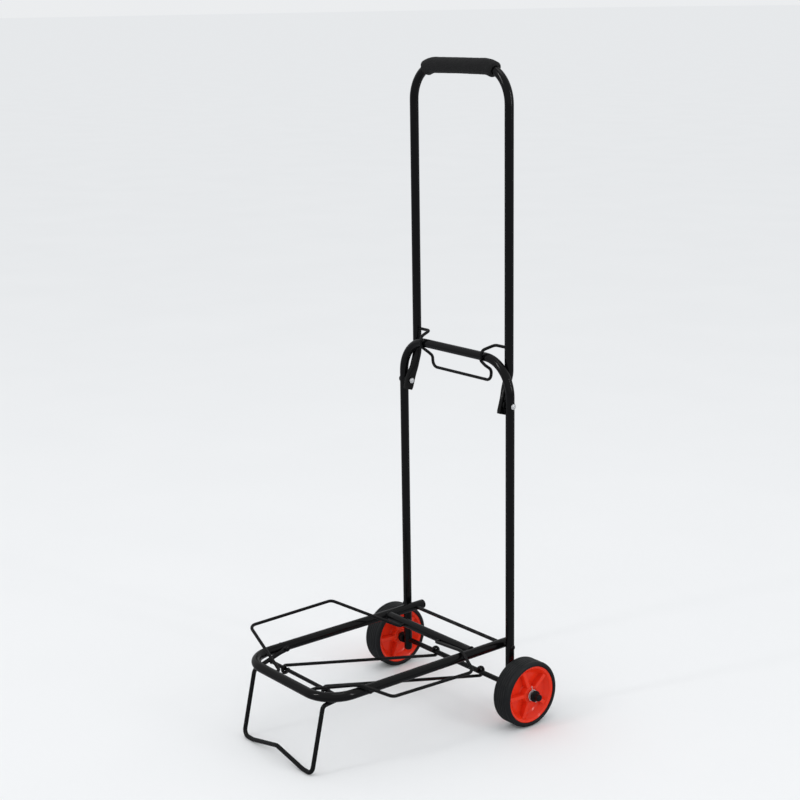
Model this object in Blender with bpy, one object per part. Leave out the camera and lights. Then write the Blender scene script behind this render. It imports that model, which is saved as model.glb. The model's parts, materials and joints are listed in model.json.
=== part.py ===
"""Folding luggage cart: tube mast, folding handle with a foam grip, wire latch, folding platform,
front leg with its links, two side wings and two wheels.

Frame: X runs along the axle, the platform reaches towards -Y, Z is up. The origin lies on the ground at the
middle of the cart's footprint. Sizes below are measured from the axle's line, straight down on the ground, and
one root empty places that line AXLE_Y behind the origin. Lengths are in metres.
"""

import math

import bmesh
import bpy
from mathutils import Matrix, Vector

# Clearances
GAP = 0.0003

# Wheels and axle
WHEEL_R = 0.050
TYRE_WIDTH = 0.0325
TYRE_INNER_R = 0.0432
RIM_R = 0.0429
RIM_WIDTH = 0.0285
RIM_WEB = 0.007
HUB_R = 0.0115
WHEEL_X = 0.1519
AXLE_R = 0.004
AXLE_END = 0.1795
SPOKES = 5
SPOKE_TURN = math.radians(36)

# Lower mast
TUBE_R = 0.0065
MAST_HALF = 0.1195
MAST_TOP = 0.5418
MAST_BEND = 0.0515
MAST_BOTTOM = 0.033

# Handle
HINGE_Z = 0.478
HANDLE_HALF = 0.103
HANDLE_Y = 0.0133
HANDLE_TOP = 0.952
HANDLE_BEND = 0.051
HANDLE_LEAN = math.radians(17)
HANDLE_TAIL = 0.0142
PRESSED_STATIONS = (0.0008, 0.0210, 0.0270, 0.0330)
PRESSED_HALF_THICK = 0.0043
PRESSED_HALF_WIDE = 0.0083
PRESSED_X = 0.1058
GRIP_R = 0.0115
GRIP_HALF = 0.0755

# Fasteners and small hardware
HINGE_PIN_R = 0.0022
HINGE_HEAD_R = 0.0043
HINGE_WASHER_R = 0.0065
SPACER_R = 0.0085
WASHER_R = 0.0088
WASHER_THICK = 0.0012
SPLIT_PIN_R = 0.0008
SPLIT_PIN_X = 0.1712
CAP_R = 0.0088
CAP_NOSE_R = 0.0053
CAP_START = 0.1725
CAP_LENGTH = 0.0118

# Latch, measured from the axis of the mast's cross bar
LATCH_R = 0.002
LATCH_PIVOT_Z = MAST_TOP + 0.0165
HUG_R = 0.0089

# Platform
DECK_Z = 0.111
DECK_HALF = 0.102
DECK_R = 0.007
DECK_FRONT = -0.3234
DECK_REAR = 0.0150
DECK_BEND = 0.045
CROSS_TUBE_Y = -0.056
PIVOT_ROD_R = 0.0028
ROD_HEAD_R = 0.0040
ROD_HEAD_THICK = 0.0012

# Front leg
LEG_R = 0.0032
LEG_PIVOT_Y = -0.254
LEG_ARM_X = 0.0914
LEG_FLAT_SHIFT = 0.0014
LEG_FLAT_HALF = 0.0018
LEG_TAIL = 0.0045
LEG_FLAT = 0.013
LEG_FOOT_X = 0.084
LEG_FOOT_Y = -0.340
LEG_BEND_Y = -0.318
LEG_BEND_Z = 0.0985
FOOT_RISE_Z = 0.016
LEG_SIDES = 10
FOOT_Z = LEG_R * math.cos(math.pi / LEG_SIDES)
AXLE_Y = (WHEEL_R + LEG_R - LEG_FOOT_Y) / 2 - WHEEL_R
FOOT_FLAT_END = 0.062
FOOT_TURN_SHARE = 0.8
LEG_RADII = (0.02, 0.008, 0.010, 0.03, 0.014, 0.03, 0.010, 0.008, 0.02)
CROSS_ROD_Y = -0.287
CROSS_ROD_Z = 0.102
CROSS_ROD_R = 0.0028

# Links
LINK_R = 0.0024
EYELET_TURN = math.radians(272)
EYELET_STEP = math.radians(22)
LINK_REAR_X = 0.053
LINK_FRONT_X = 0.049

# Wings: one wire shape, used twice, the second turned half a turn about WING_CENTRE_Y
WING_R = 0.0024
WING_FRONT_PIN_X = 0.0525
WING_REAR_PIN_X = 0.032
WING_FRONT_PIN_Y = DECK_FRONT + DECK_R
WING_REAR_PIN_Y = CROSS_TUBE_Y - DECK_R
WING_CENTRE_Y = (WING_FRONT_PIN_Y + WING_REAR_PIN_Y) / 2
WING_FRONT_CORNER = (0.141, -0.2394, 0.1085)
WING_REAR_CORNER = (0.1383, -0.0879, 0.1023)
WING_OVER_HALF = 0.0045
WING_RADII = (0.006, 0.03, 0.012, 0.012, 0.012, 0.012, 0.03, 0.006)
STRAIGHT_WING_RADII = (0.006, 0.012, 0.012, 0.006)
WING_OVER_Z = DECK_Z + DECK_R + WING_R + 0.0006
LEFT_WING_RAISED = math.radians(23.5)

# Mesh fineness
TUBE_SIDES = 16
WIRE_SIDES = 8
TYRE_SEGMENTS = 36
RIM_SEGMENTS = 30
SMALL_SEGMENTS = 14
ARC_STEP = math.radians(15)
EDGE_TURN = math.radians(7)


def clear_scene():
    """Remove every object that the file starts with."""
    for obj in list(bpy.data.objects):
        bpy.data.objects.remove(obj, do_unlink=True)


def material(name, colour, roughness, metallic=0.0):
    """A Principled material in one plain colour."""
    mat = bpy.data.materials.new(name)
    mat.use_nodes = True
    shader = mat.node_tree.nodes["Principled BSDF"]
    shader.inputs["Base Color"].default_value = (*colour, 1.0)
    shader.inputs["Roughness"].default_value = roughness
    shader.inputs["Metallic"].default_value = metallic
    mat.diffuse_color = (*colour, 1.0)
    return mat


PAINT = ((0.012, 0.012, 0.013), 0.25, 0.0)
ZINC = ((0.72, 0.73, 0.74), 0.3, 1.0)
BLACK_PLASTIC = ((0.02, 0.02, 0.02), 0.45, 0.0)
RED_PLASTIC = ((0.62, 0.02, 0.02), 0.25, 0.0)
RUBBER = ((0.02, 0.02, 0.02), 0.7, 0.0)
FOAM = ((0.018, 0.018, 0.018), 0.85, 0.0)


def add_object(name, mesh_builder, finish, pivot):
    """Turn a bmesh into a named object whose origin is the empty it hangs from."""
    mesh = bpy.data.meshes.new(name)
    bmesh.ops.recalc_face_normals(mesh_builder, faces=mesh_builder.faces)
    mesh_builder.to_mesh(mesh)
    mesh_builder.free()
    mesh.transform(Matrix.Translation(-pivot.location))
    mesh.shade_smooth()
    mesh.set_sharp_from_angle(angle=math.radians(35))
    mesh.materials.append(material(name + "_material", *finish))
    obj = bpy.data.objects.new(name, mesh)
    bpy.context.scene.collection.objects.link(obj)
    obj.parent = pivot
    return obj


def pivot_empty(name, location, parent=None):
    """An empty on a joint's axis. The pieces that move together hang from it."""
    empty = bpy.data.objects.new(name, None)
    bpy.context.scene.collection.objects.link(empty)
    empty.location = location
    if parent is not None:
        empty.parent = parent
        empty.matrix_parent_inverse = Matrix.Translation(-parent.location)
    return empty


# Paths and sweeps

def rounded_path(corners, radii, step=ARC_STEP):
    """Points along straight runs whose inner corners are rounded by arcs of the given radii."""
    corners = [Vector(c) for c in corners]
    points = [corners[0]]
    for before, corner, after, radius in zip(corners, corners[1:], corners[2:], radii):
        arrive = (corner - before).normalized()
        leave = (after - corner).normalized()
        turn = arrive.angle(leave)
        if turn < 1e-4 or radius == 0:
            points.append(corner)
            continue
        setback = radius * math.tan(turn / 2)
        inward = (leave - arrive).normalized()
        centre = corner + inward * (radius / math.cos(turn / 2))
        count = max(2, round(turn / step))
        axis = arrive.cross(leave).normalized()
        spoke = (corner - arrive * setback) - centre
        for i in range(count + 1):
            points.append(centre + Matrix.Rotation(turn * i / count, 3, axis) @ spoke)
    points.append(corners[-1])
    return points


def arc_points(centre, start, axis, angle, step=ARC_STEP):
    """Points on an arc that starts at a point and turns about an axis through a centre."""
    centre = Vector(centre)
    spoke = Vector(start) - centre
    count = max(2, math.ceil(abs(angle) / step))
    return [centre + Matrix.Rotation(angle * i / count, 3, Vector(axis)) @ spoke for i in range(count + 1)]


def path_frames(points, reference, rolls=None):
    """Tangent, side and up directions at each point, turned no more than the path turns, plus a roll at each."""
    frames = []
    side = Vector(reference)
    for i, point in enumerate(points):
        before = (point - points[i - 1]).normalized() if i else None
        after = (points[i + 1] - point).normalized() if i + 1 < len(points) else None
        tangent = ((before or after) + (after or before)).normalized()
        side = (side - tangent * side.dot(tangent)).normalized()
        rolled = Matrix.Rotation(rolls[i], 3, tangent) @ side if rolls else side
        frames.append((tangent, rolled, tangent.cross(rolled)))
    return frames


def ring_point(angle, half_side, half_up, squareness):
    """A point on a round section, or on a squarer one as squareness goes from 1 down to 0.5."""
    c, s = math.cos(angle), math.sin(angle)
    return (
        half_side * math.copysign(abs(c) ** squareness, c),
        half_up * math.copysign(abs(s) ** squareness, s),
    )


def sweep(points, sections, sides, reference, rolls=None):
    """A closed solid swept along points. Each section is (half side, half up, squareness, side shift)."""
    bm = bmesh.new()
    rings = []
    for point, section, (tangent, side, up) in zip(points, sections, path_frames(points, reference, rolls)):
        half_side, half_up, squareness, shift = section
        ring = []
        for i in range(sides):
            a, b = ring_point(2 * math.pi * (i + 0.5) / sides, half_side, half_up, squareness)
            ring.append(bm.verts.new(point + side * (a + shift) + up * b))
        rings.append(ring)
    for low, high in zip(rings, rings[1:]):
        for i in range(sides):
            j = (i + 1) % sides
            bm.faces.new((low[i], low[j], high[j], high[i]))
    bm.faces.new(rings[0][::-1])
    bm.faces.new(rings[-1])
    return bm


def round_bar(points, radius, sides=WIRE_SIDES, reference=(1, 0, 0), nose=0.0):
    """A round bar along points. A nose draws both ends in to a smaller radius over that length."""
    points = [Vector(p) for p in points]
    radii = [radius] * len(points)
    if nose:
        start = (points[1] - points[0]).normalized()
        end = (points[-2] - points[-1]).normalized()
        points = [points[0], points[0] + start * nose, *points[1:-1], points[-1] + end * nose, points[-1]]
        radii = [radius - nose, radius, *radii[1:-1], radius, radius - nose]
    return sweep(points, [(r, r, 1.0, 0.0) for r in radii], sides, reference)


def turned(profile, axis_point, axis, segments):
    """A solid of revolution from a closed outline of (distance along the axis, radius) points."""
    axis = Vector(axis).normalized()
    outward = Vector((0, 0, 1)) if abs(axis.z) < 0.9 else Vector((1, 0, 0))
    bm = bmesh.new()
    rings = []
    for i in range(segments):
        spoke = Matrix.Rotation(2 * math.pi * (i + 0.5) / segments, 3, axis) @ outward
        rings.append([bm.verts.new(Vector(axis_point) + axis * t + spoke * r) for t, r in profile])
    for i in range(segments):
        here, there = rings[i], rings[(i + 1) % segments]
        for k in range(len(profile)):
            n = (k + 1) % len(profile)
            bm.faces.new((here[k], here[n], there[n], there[k]))
    return bm


def spindle(outline, centre, segments):
    """A solid turned about X from an open outline whose two ends lie on the axis."""
    bm = bmesh.new()
    tips = [bm.verts.new(Vector(centre) + Vector((t, 0, 0))) for t in (outline[0][0], outline[-1][0])]
    rings = []
    for t, r in outline[1:-1]:
        angles = [2 * math.pi * (i + 0.5) / segments for i in range(segments)]
        rings.append([bm.verts.new(Vector(centre) + Vector((t, r * math.cos(a), r * math.sin(a)))) for a in angles])
    for i in range(segments):
        j = (i + 1) % segments
        for near, far in zip(rings, rings[1:]):
            bm.faces.new((near[i], near[j], far[j], far[i]))
        bm.faces.new((tips[0], rings[0][j], rings[0][i]))
        bm.faces.new((tips[1], rings[-1][i], rings[-1][j]))
    return bm


def cylinder(start, end, radius, sides=SMALL_SEGMENTS):
    """A plain cylinder between two points, its edges turned off the axes so that none meets another's edge."""
    along = (Vector(end) - Vector(start)).normalized()
    reference = Vector((0, 0, 1)) if abs(along.z) < 0.9 else Vector((1, 0, 0))
    return round_bar([start, end], radius, sides, Matrix.Rotation(EDGE_TURN, 3, along) @ reference)


def domed_head(base, outward, radius, height, sides=SMALL_SEGMENTS):
    """A low rivet head with a flat base, bulging outward."""
    outward = Vector(outward).normalized()
    base = Vector(base)
    steps = ((0.0, 1.0), (0.45, 0.94), (0.85, 0.6), (1.0, 0.3))
    points = [base + outward * (height * t) for t, _ in steps]
    sections = [(radius * r, radius * r, 1.0, 0.0) for _, r in steps]
    reference = (0, 0, 1) if abs(outward.z) < 0.9 else (1, 0, 0)
    return sweep(points, sections, sides, reference)


def boolean(obj, other_bm, operation, pivot):
    """Cut a shape from an object or join it on, with the exact solver."""
    mesh = bpy.data.meshes.new("tool")
    bmesh.ops.recalc_face_normals(other_bm, faces=other_bm.faces)
    other_bm.to_mesh(mesh)
    other_bm.free()
    mesh.transform(Matrix.Translation(-pivot.location))
    tool = bpy.data.objects.new(obj.name + "_tool", mesh)
    bpy.context.scene.collection.objects.link(tool)
    tool.parent = pivot
    tool.hide_render = True
    tool.display_type = "WIRE"
    modifier = obj.modifiers.new(operation.lower(), "BOOLEAN")
    modifier.operation = operation
    modifier.solver = "EXACT"
    modifier.object = tool


# Sub-assemblies

def build_lower_mast(pivot):
    """The bent mast tube with its axle, pivot rod, hinge rivets and small hardware."""
    corners = [
        (-MAST_HALF, 0, MAST_BOTTOM),
        (-MAST_HALF, 0, MAST_TOP),
        (MAST_HALF, 0, MAST_TOP),
        (MAST_HALF, 0, MAST_BOTTOM),
    ]
    path = rounded_path(corners, [MAST_BEND, MAST_BEND])
    mast = add_object("lower_mast", round_bar(path, TUBE_R, TUBE_SIDES, (0, 1, 0), 0.0018), PAINT, pivot)
    for side in (-1, 1):
        inner, outer = side * (MAST_HALF - 0.01), side * (MAST_HALF + 0.01)
        for height, radius in ((WHEEL_R, AXLE_R), (DECK_Z, PIVOT_ROD_R), (HINGE_Z, HINGE_PIN_R)):
            bore = cylinder((inner, 0, height), (outer, 0, height), radius + GAP)
            boolean(mast, bore, "DIFFERENCE", pivot)

    axle = add_object(
        "axle",
        round_bar([(-AXLE_END, 0, WHEEL_R), (AXLE_END, 0, WHEEL_R)], AXLE_R, 16, (0, 0, 1), 0.0006),
        PAINT,
        pivot,
    )
    face = MAST_HALF + TUBE_R + GAP
    end = [(face + ROD_HEAD_THICK, ROD_HEAD_R - 0.0008)]
    end += [(face + ROD_HEAD_THICK / 2, ROD_HEAD_R), (face, ROD_HEAD_R), (face, PIVOT_ROD_R)]
    outline = end + [(-t, r) for t, r in reversed(end)]
    outline = [(face + ROD_HEAD_THICK, 0)] + outline + [(-face - ROD_HEAD_THICK, 0)]
    add_object("pivot_rod", spindle(outline, (0, 0, DECK_Z), 14), PAINT, pivot)
    for side, label in ((-1, "left"), (1, "right")):
        build_mast_hardware(pivot, axle, side, label)


def build_mast_hardware(pivot, axle, side, label):
    """The fasteners and spacers on one side of the mast."""
    def x(value):
        return side * value

    outside = MAST_HALF + TUBE_R
    wheel_inner = WHEEL_X - TYRE_WIDTH / 2
    wheel_outer = WHEEL_X + TYRE_WIDTH / 2
    bore = AXLE_R + GAP
    spacer = [(0, bore), (wheel_inner - outside - 2 * GAP, bore)]
    spacer += [(t, SPACER_R - e) for t, e in ((wheel_inner - outside - 2 * GAP, 0.001), (0.0077, 0), (0.001, 0))]
    spacer.append((0, SPACER_R - 0.001))
    spacer_bm = turned(spacer, (x(outside + GAP), 0, WHEEL_R), (side, 0, 0), SMALL_SEGMENTS)
    add_object("axle_spacer_" + label, spacer_bm, BLACK_PLASTIC, pivot)

    washer = [(0, bore), (WASHER_THICK, bore), (WASHER_THICK, WASHER_R), (0, WASHER_R)]
    washer_bm = turned(washer, (x(wheel_outer + GAP), 0, WHEEL_R), (side, 0, 0), SMALL_SEGMENTS)
    add_object("hub_washer_" + label, washer_bm, ZINC, pivot)

    lean = Vector((0, -0.42, 0.91)).normalized()
    centre = Vector((x(SPLIT_PIN_X), 0, WHEEL_R))
    boolean(axle, cylinder(centre - lean * 0.01, centre + lean * 0.01, SPLIT_PIN_R + GAP, 10), "DIFFERENCE", pivot)
    eye_r = 0.0024
    eye_start = centre - lean * 0.0078
    across = Vector((0, 0.91, 0.42)).normalized()
    eye = arc_points(eye_start - across * eye_r, eye_start, (1, 0, 0), math.radians(-300), math.radians(30))
    shank = [centre + lean * 0.0125, centre]
    pin_bm = round_bar([*shank, *eye], SPLIT_PIN_R, 8)
    add_object("split_pin_" + label, pin_bm, ZINC, pivot)

    cap = [(0, bore), (0, CAP_R - 0.0006), (0.0006, CAP_R), (0.0026, CAP_R), (0.0034, CAP_NOSE_R + 0.0008)]
    cap += [(0.0042, CAP_NOSE_R), (CAP_LENGTH - 0.0012, CAP_NOSE_R), (CAP_LENGTH, CAP_NOSE_R - 0.0016)]
    depth = AXLE_END - CAP_START + GAP
    cap += [(CAP_LENGTH, 0.0004), (depth, 0.0004), (depth, bore)]
    cap_bm = turned(cap, (x(CAP_START), 0, WHEEL_R), (side, 0, 0), SMALL_SEGMENTS)
    add_object("axle_cap_" + label, cap_bm, BLACK_PLASTIC, pivot)

    inner_face = PRESSED_X - PRESSED_HALF_THICK - GAP
    outer = domed_head((x(outside + GAP), 0, HINGE_Z), (side, 0, 0), HINGE_HEAD_R, 0.0024)
    rivet = add_object("hinge_rivet_" + label, outer, ZINC, pivot)
    shank_bm = cylinder((x(inner_face - 0.0004), 0, HINGE_Z), (x(outside + 0.0007), 0, HINGE_Z), HINGE_PIN_R, 12)
    boolean(rivet, shank_bm, "UNION", pivot)
    boolean(rivet, domed_head((x(inner_face), 0, HINGE_Z), (-side, 0, 0), HINGE_HEAD_R, 0.0022), "UNION", pivot)

    washer_in = PRESSED_X + PRESSED_HALF_THICK + GAP
    washer_out = MAST_HALF - TUBE_R - GAP
    ring = [(0, HINGE_PIN_R + GAP), (washer_out - washer_in, HINGE_PIN_R + GAP)]
    ring += [(washer_out - washer_in, HINGE_WASHER_R), (0, HINGE_WASHER_R)]
    ring_bm = turned(ring, (x(washer_in), 0, HINGE_Z), (side, 0, 0), SMALL_SEGMENTS)
    add_object("hinge_washer_" + label, ring_bm, BLACK_PLASTIC, pivot)


def handle_path():
    """The handle's centre line from its left tail, over the top, to its right tail."""
    sink = HANDLE_Y / math.tan(HANDLE_LEAN)
    tail_y = -math.sin(HANDLE_LEAN) * HANDLE_TAIL
    tail_z = HINGE_Z - math.cos(HANDLE_LEAN) * HANDLE_TAIL
    kink_z = HINGE_Z + sink
    half = HANDLE_HALF
    corners = [
        (-half, tail_y, tail_z),
        (-half, HANDLE_Y, kink_z),
        (-half, HANDLE_Y, HANDLE_TOP),
        (half, HANDLE_Y, HANDLE_TOP),
        (half, HANDLE_Y, kink_z),
        (half, tail_y, tail_z),
    ]
    points = rounded_path(corners, [0.03, HANDLE_BEND, HANDLE_BEND, 0.03])
    for end in (0, -1):
        tail = points[end]
        along = (points[1 if end == 0 else -2] - tail).normalized()
        stations = [tail + along * s for s in PRESSED_STATIONS]
        points = [tail, *stations, *points[1:]] if end == 0 else [*points[:-1], *stations[::-1], tail]
    return points


def build_handle(pivot):
    """The bent handle tube with pressed lower ends, and its foam grip."""
    points = handle_path()
    shift = PRESSED_X - HANDLE_HALF
    pressed = (PRESSED_HALF_THICK, PRESSED_HALF_WIDE, 0.72, shift)
    tip = (PRESSED_HALF_THICK - 0.0008, PRESSED_HALF_WIDE - 0.0008, 0.72, shift)
    easing = (0.0053, 0.0075, 0.85, shift * 0.5)
    tube = (TUBE_R, TUBE_R, 1.0, 0.0)
    ends = [tip, pressed, pressed, easing, tube]
    sections = ends + [tube] * (len(points) - 2 * len(ends)) + ends[::-1]
    handle = add_object("upper_handle", sweep(points, sections, TUBE_SIDES, (-1, 0, 0)), PAINT, pivot)
    for side in (-1, 1):
        start = (side * (HANDLE_HALF - 0.012), 0, HINGE_Z)
        boolean(handle, cylinder(start, (side * 0.115, 0, HINGE_Z), HINGE_PIN_R + GAP), "DIFFERENCE", pivot)
        start = (side * (HANDLE_HALF - TUBE_R - 0.002), HANDLE_Y, LATCH_PIVOT_Z)
        end = (side * (HANDLE_HALF - 0.0015), HANDLE_Y, LATCH_PIVOT_Z)
        boolean(handle, cylinder(start, end, LATCH_R + GAP, 12), "DIFFERENCE", pivot)

    build_grip(pivot)


def build_grip(pivot):
    """The foam tube on the handle's top. Its bore follows the handle's own facets."""
    arc_x = HANDLE_HALF - HANDLE_BEND
    arc_z = HANDLE_TOP - HANDLE_BEND
    top = (arc_x, HANDLE_Y, HANDLE_TOP)
    arc = arc_points((arc_x, HANDLE_Y, arc_z), top, (0, 1, 0), 3 * ARC_STEP)
    share = (GRIP_HALF - arc[1].x) / (arc[2].x - arc[1].x)
    right = [*arc[:2], arc[1].lerp(arc[2], share)]
    left = [Vector((-p.x, p.y, p.z)) for p in reversed(right)]
    grip = add_object("foam_grip", round_bar(left + right, GRIP_R, 20, (0, 1, 0), 0.0008), FOAM, pivot)
    core_right = [*arc[:3], arc[2].lerp(arc[3], 0.5)]
    core_left = [Vector((-p.x, p.y, p.z)) for p in reversed(core_right)]
    core = round_bar(core_left + core_right, TUBE_R + GAP, TUBE_SIDES, (0, 1, 0))
    boolean(grip, core, "DIFFERENCE", pivot)


def build_latch(pivot):
    """The wire that hooks round the front of the mast's cross bar."""
    def on_side(side):
        return [
            (side * (HANDLE_HALF - 0.003), HANDLE_Y, LATCH_PIVOT_Z),
            (side * 0.0735, HANDLE_Y, LATCH_PIVOT_Z),
            (side * 0.068, -HUG_R, MAST_TOP + 0.0105),
            (side * 0.0668, -HUG_R, MAST_TOP - 0.0042),
            (side * 0.0640, 0.0026, MAST_TOP - 0.0136),
            (side * 0.0660, 0.0126, MAST_TOP - 0.0210),
            (side * 0.0650, 0.0126, MAST_TOP - 0.0377),
        ]

    radii = [0.004, 0.0045, HUG_R, 0.006, 0.006, 0.008]
    corners = on_side(-1) + on_side(1)[::-1]
    points = rounded_path(corners, radii + radii[::-1], math.radians(20))
    add_object("latch_wire", round_bar(points, LATCH_R, WIRE_SIDES, (0, 1, 0)), PAINT, pivot)


def build_platform(pivot):
    """The U frame of the platform with its rear cross tube, end plugs and leg rivets."""
    corners = [
        (-DECK_HALF, DECK_REAR, DECK_Z),
        (-DECK_HALF, DECK_FRONT, DECK_Z),
        (DECK_HALF, DECK_FRONT, DECK_Z),
        (DECK_HALF, DECK_REAR, DECK_Z),
    ]
    path = rounded_path(corners, [DECK_BEND, DECK_BEND])
    frame = add_object("platform_frame", round_bar(path, DECK_R, TUBE_SIDES, (0, 0, 1)), PAINT, pivot)
    reach = DECK_HALF - DECK_R - GAP
    cross = round_bar([(-reach, CROSS_TUBE_Y, DECK_Z), (reach, CROSS_TUBE_Y, DECK_Z)], DECK_R - 0.0001, TUBE_SIDES,
                      (0, 0, 1))
    cross_tube = add_object("cross_tube", cross, PAINT, pivot)
    for side, label in ((-1, "left"), (1, "right")):
        inner, outer = side * (DECK_HALF - 0.01), side * (DECK_HALF + 0.01)
        rod_bore = cylinder((inner, 0, DECK_Z), (outer, 0, DECK_Z), PIVOT_ROD_R + GAP)
        boolean(frame, rod_bore, "DIFFERENCE", pivot)
        rivet_bore = cylinder((inner, LEG_PIVOT_Y, DECK_Z), (outer, LEG_PIVOT_Y, DECK_Z), 0.0025 + GAP, 12)
        boolean(frame, rivet_bore, "DIFFERENCE", pivot)
        face = side * (DECK_HALF + DECK_R + GAP)
        rivet_bm = domed_head((face, LEG_PIVOT_Y, DECK_Z), (side, 0, 0), 0.0046, 0.0022)
        rivet = add_object("leg_rivet_" + label, rivet_bm, PAINT, pivot)
        shank = cylinder((face + side * 0.0006, LEG_PIVOT_Y, DECK_Z), (side * (DECK_HALF - DECK_R + 0.0006),
                         LEG_PIVOT_Y, DECK_Z), 0.0025, 12)
        boolean(rivet, shank, "UNION", pivot)
        plug = [(0, 0.0002), (0, DECK_R - 0.0009), (0.0006, DECK_R), (0.0016, DECK_R), (0.0026, DECK_R - 0.0014)]
        plug += [(0.0030, 0.0002)]
        plug_bm = turned(plug, (side * DECK_HALF, DECK_REAR + GAP, DECK_Z), (0, 1, 0), SMALL_SEGMENTS)
        add_object("tube_plug_" + label, plug_bm, BLACK_PLASTIC, pivot)
    for points in (wing_path(1), wing_path(-1)):
        front, rear = (points[0], points[1]), (points[-1], points[-2])
        for tip, next_point in (front, rear):
            along = (tip - next_point).normalized()
            bore = cylinder(next_point, tip + along * 0.0004, WING_R + GAP, 12)
            target = frame if tip.y < WING_CENTRE_Y else cross_tube
            boolean(target, bore, "DIFFERENCE", pivot)


def build_leg(pivot):
    """The front leg wire with its pressed arm ends, its cross rod and the pin heads."""
    slope = (DECK_Z - LEG_BEND_Z) / (LEG_PIVOT_Y - LEG_BEND_Y)

    def on_side(side):
        return [
            (side * LEG_ARM_X, LEG_PIVOT_Y + LEG_TAIL, DECK_Z + LEG_TAIL * slope),
            (side * LEG_ARM_X, LEG_PIVOT_Y - LEG_FLAT, DECK_Z - LEG_FLAT * slope),
            (side * LEG_FOOT_X, LEG_BEND_Y, LEG_BEND_Z),
            (side * LEG_FOOT_X, LEG_FOOT_Y, FOOT_Z),
        ]

    rise = [
        (-FOOT_FLAT_END, LEG_FOOT_Y, FOOT_Z),
        (0, LEG_FOOT_Y, FOOT_RISE_Z),
        (FOOT_FLAT_END, LEG_FOOT_Y, FOOT_Z),
    ]
    corners = on_side(-1) + rise + on_side(1)[::-1]
    points = rounded_path(corners, LEG_RADII)
    start = (points[1] - points[0]).normalized()
    end = (points[-2] - points[-1]).normalized()
    lengths = (0.0008, LEG_TAIL + LEG_FLAT - 0.006, LEG_TAIL + LEG_FLAT - 0.003)
    points = [points[0], *(points[0] + start * s for s in lengths), *points[1:-1],
              *(points[-1] + end * s for s in reversed(lengths)), points[-1]]
    flat = (LEG_FLAT_HALF, 0.0046, 0.75, -LEG_FLAT_SHIFT)
    tip = (LEG_FLAT_HALF - 0.0006, 0.0036, 0.75, -LEG_FLAT_SHIFT)
    ends = [tip, flat, flat, (LEG_R, LEG_R, 1.0, 0.0)]
    sections = ends + [(LEG_R, LEG_R, 1.0, 0.0)] * (len(points) - 2 * len(ends)) + ends[::-1]
    frames = path_frames(points, (1, 0, 0))
    rolls = [0.0] * len(points)
    for i, (point, (tangent, side, up)) in enumerate(zip(points, frames)):
        if abs(tangent.x) > FOOT_TURN_SHARE:
            down = (tangent * tangent.z - Vector((0, 0, 1))).normalized()
            turn = math.atan2(up.dot(down), side.dot(down))
            facet = 2 * math.pi / LEG_SIDES
            rolls[i] = turn - facet * round(turn / facet)
    leg = sweep(points, sections, LEG_SIDES, (1, 0, 0), rolls)
    add_object("front_leg", leg, PAINT, pivot)

    bend_start = LEG_PIVOT_Y - LEG_FLAT
    share = (bend_start - CROSS_ROD_Y) / (bend_start - LEG_BEND_Y)
    arm_x = LEG_ARM_X + (LEG_FOOT_X - LEG_ARM_X) * share
    reach = arm_x - LEG_R - 2 * GAP
    rod = cylinder((-reach, CROSS_ROD_Y, CROSS_ROD_Z), (reach, CROSS_ROD_Y, CROSS_ROD_Z), CROSS_ROD_R, 12)
    add_object("cross_rod", rod, PAINT, pivot)
    for side, label in ((-1, "left"), (1, "right")):
        base = (side * (LEG_ARM_X + LEG_FLAT_SHIFT - LEG_FLAT_HALF - GAP), LEG_PIVOT_Y, DECK_Z)
        add_object("leg_pin_" + label, domed_head(base, (-side, 0, 0), 0.0042, 0.002), PAINT, pivot)


def build_link(pivot, side, label):
    """A wire link: an eyelet round the axle, a straight run, and an eyelet round the cross rod."""
    rear_ring = AXLE_R + GAP + LINK_R
    front_ring = CROSS_ROD_R + GAP + LINK_R
    rear = Vector((side * LINK_REAR_X, 0, WHEEL_R))
    front = Vector((side * LINK_FRONT_X, CROSS_ROD_Y, CROSS_ROD_Z))
    flat_run = Vector((0, front.y - rear.y, front.z - rear.z))
    tilt = math.asin((rear_ring + front_ring) / flat_run.length)
    heading = Matrix.Rotation(-tilt, 3, (1, 0, 0)) @ flat_run.normalized()
    down = Vector((0, heading.z, -heading.y))
    if down.z > 0:
        down = -down
    rear_arc = arc_points(rear, rear + down * rear_ring, (1, 0, 0), EYELET_TURN, EYELET_STEP)
    front_arc = arc_points(front, front - down * front_ring, (1, 0, 0), EYELET_TURN, EYELET_STEP)
    points = rear_arc[::-1] + front_arc
    add_object("link_" + label, round_bar(points, LINK_R, WIRE_SIDES), PAINT, pivot)


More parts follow.
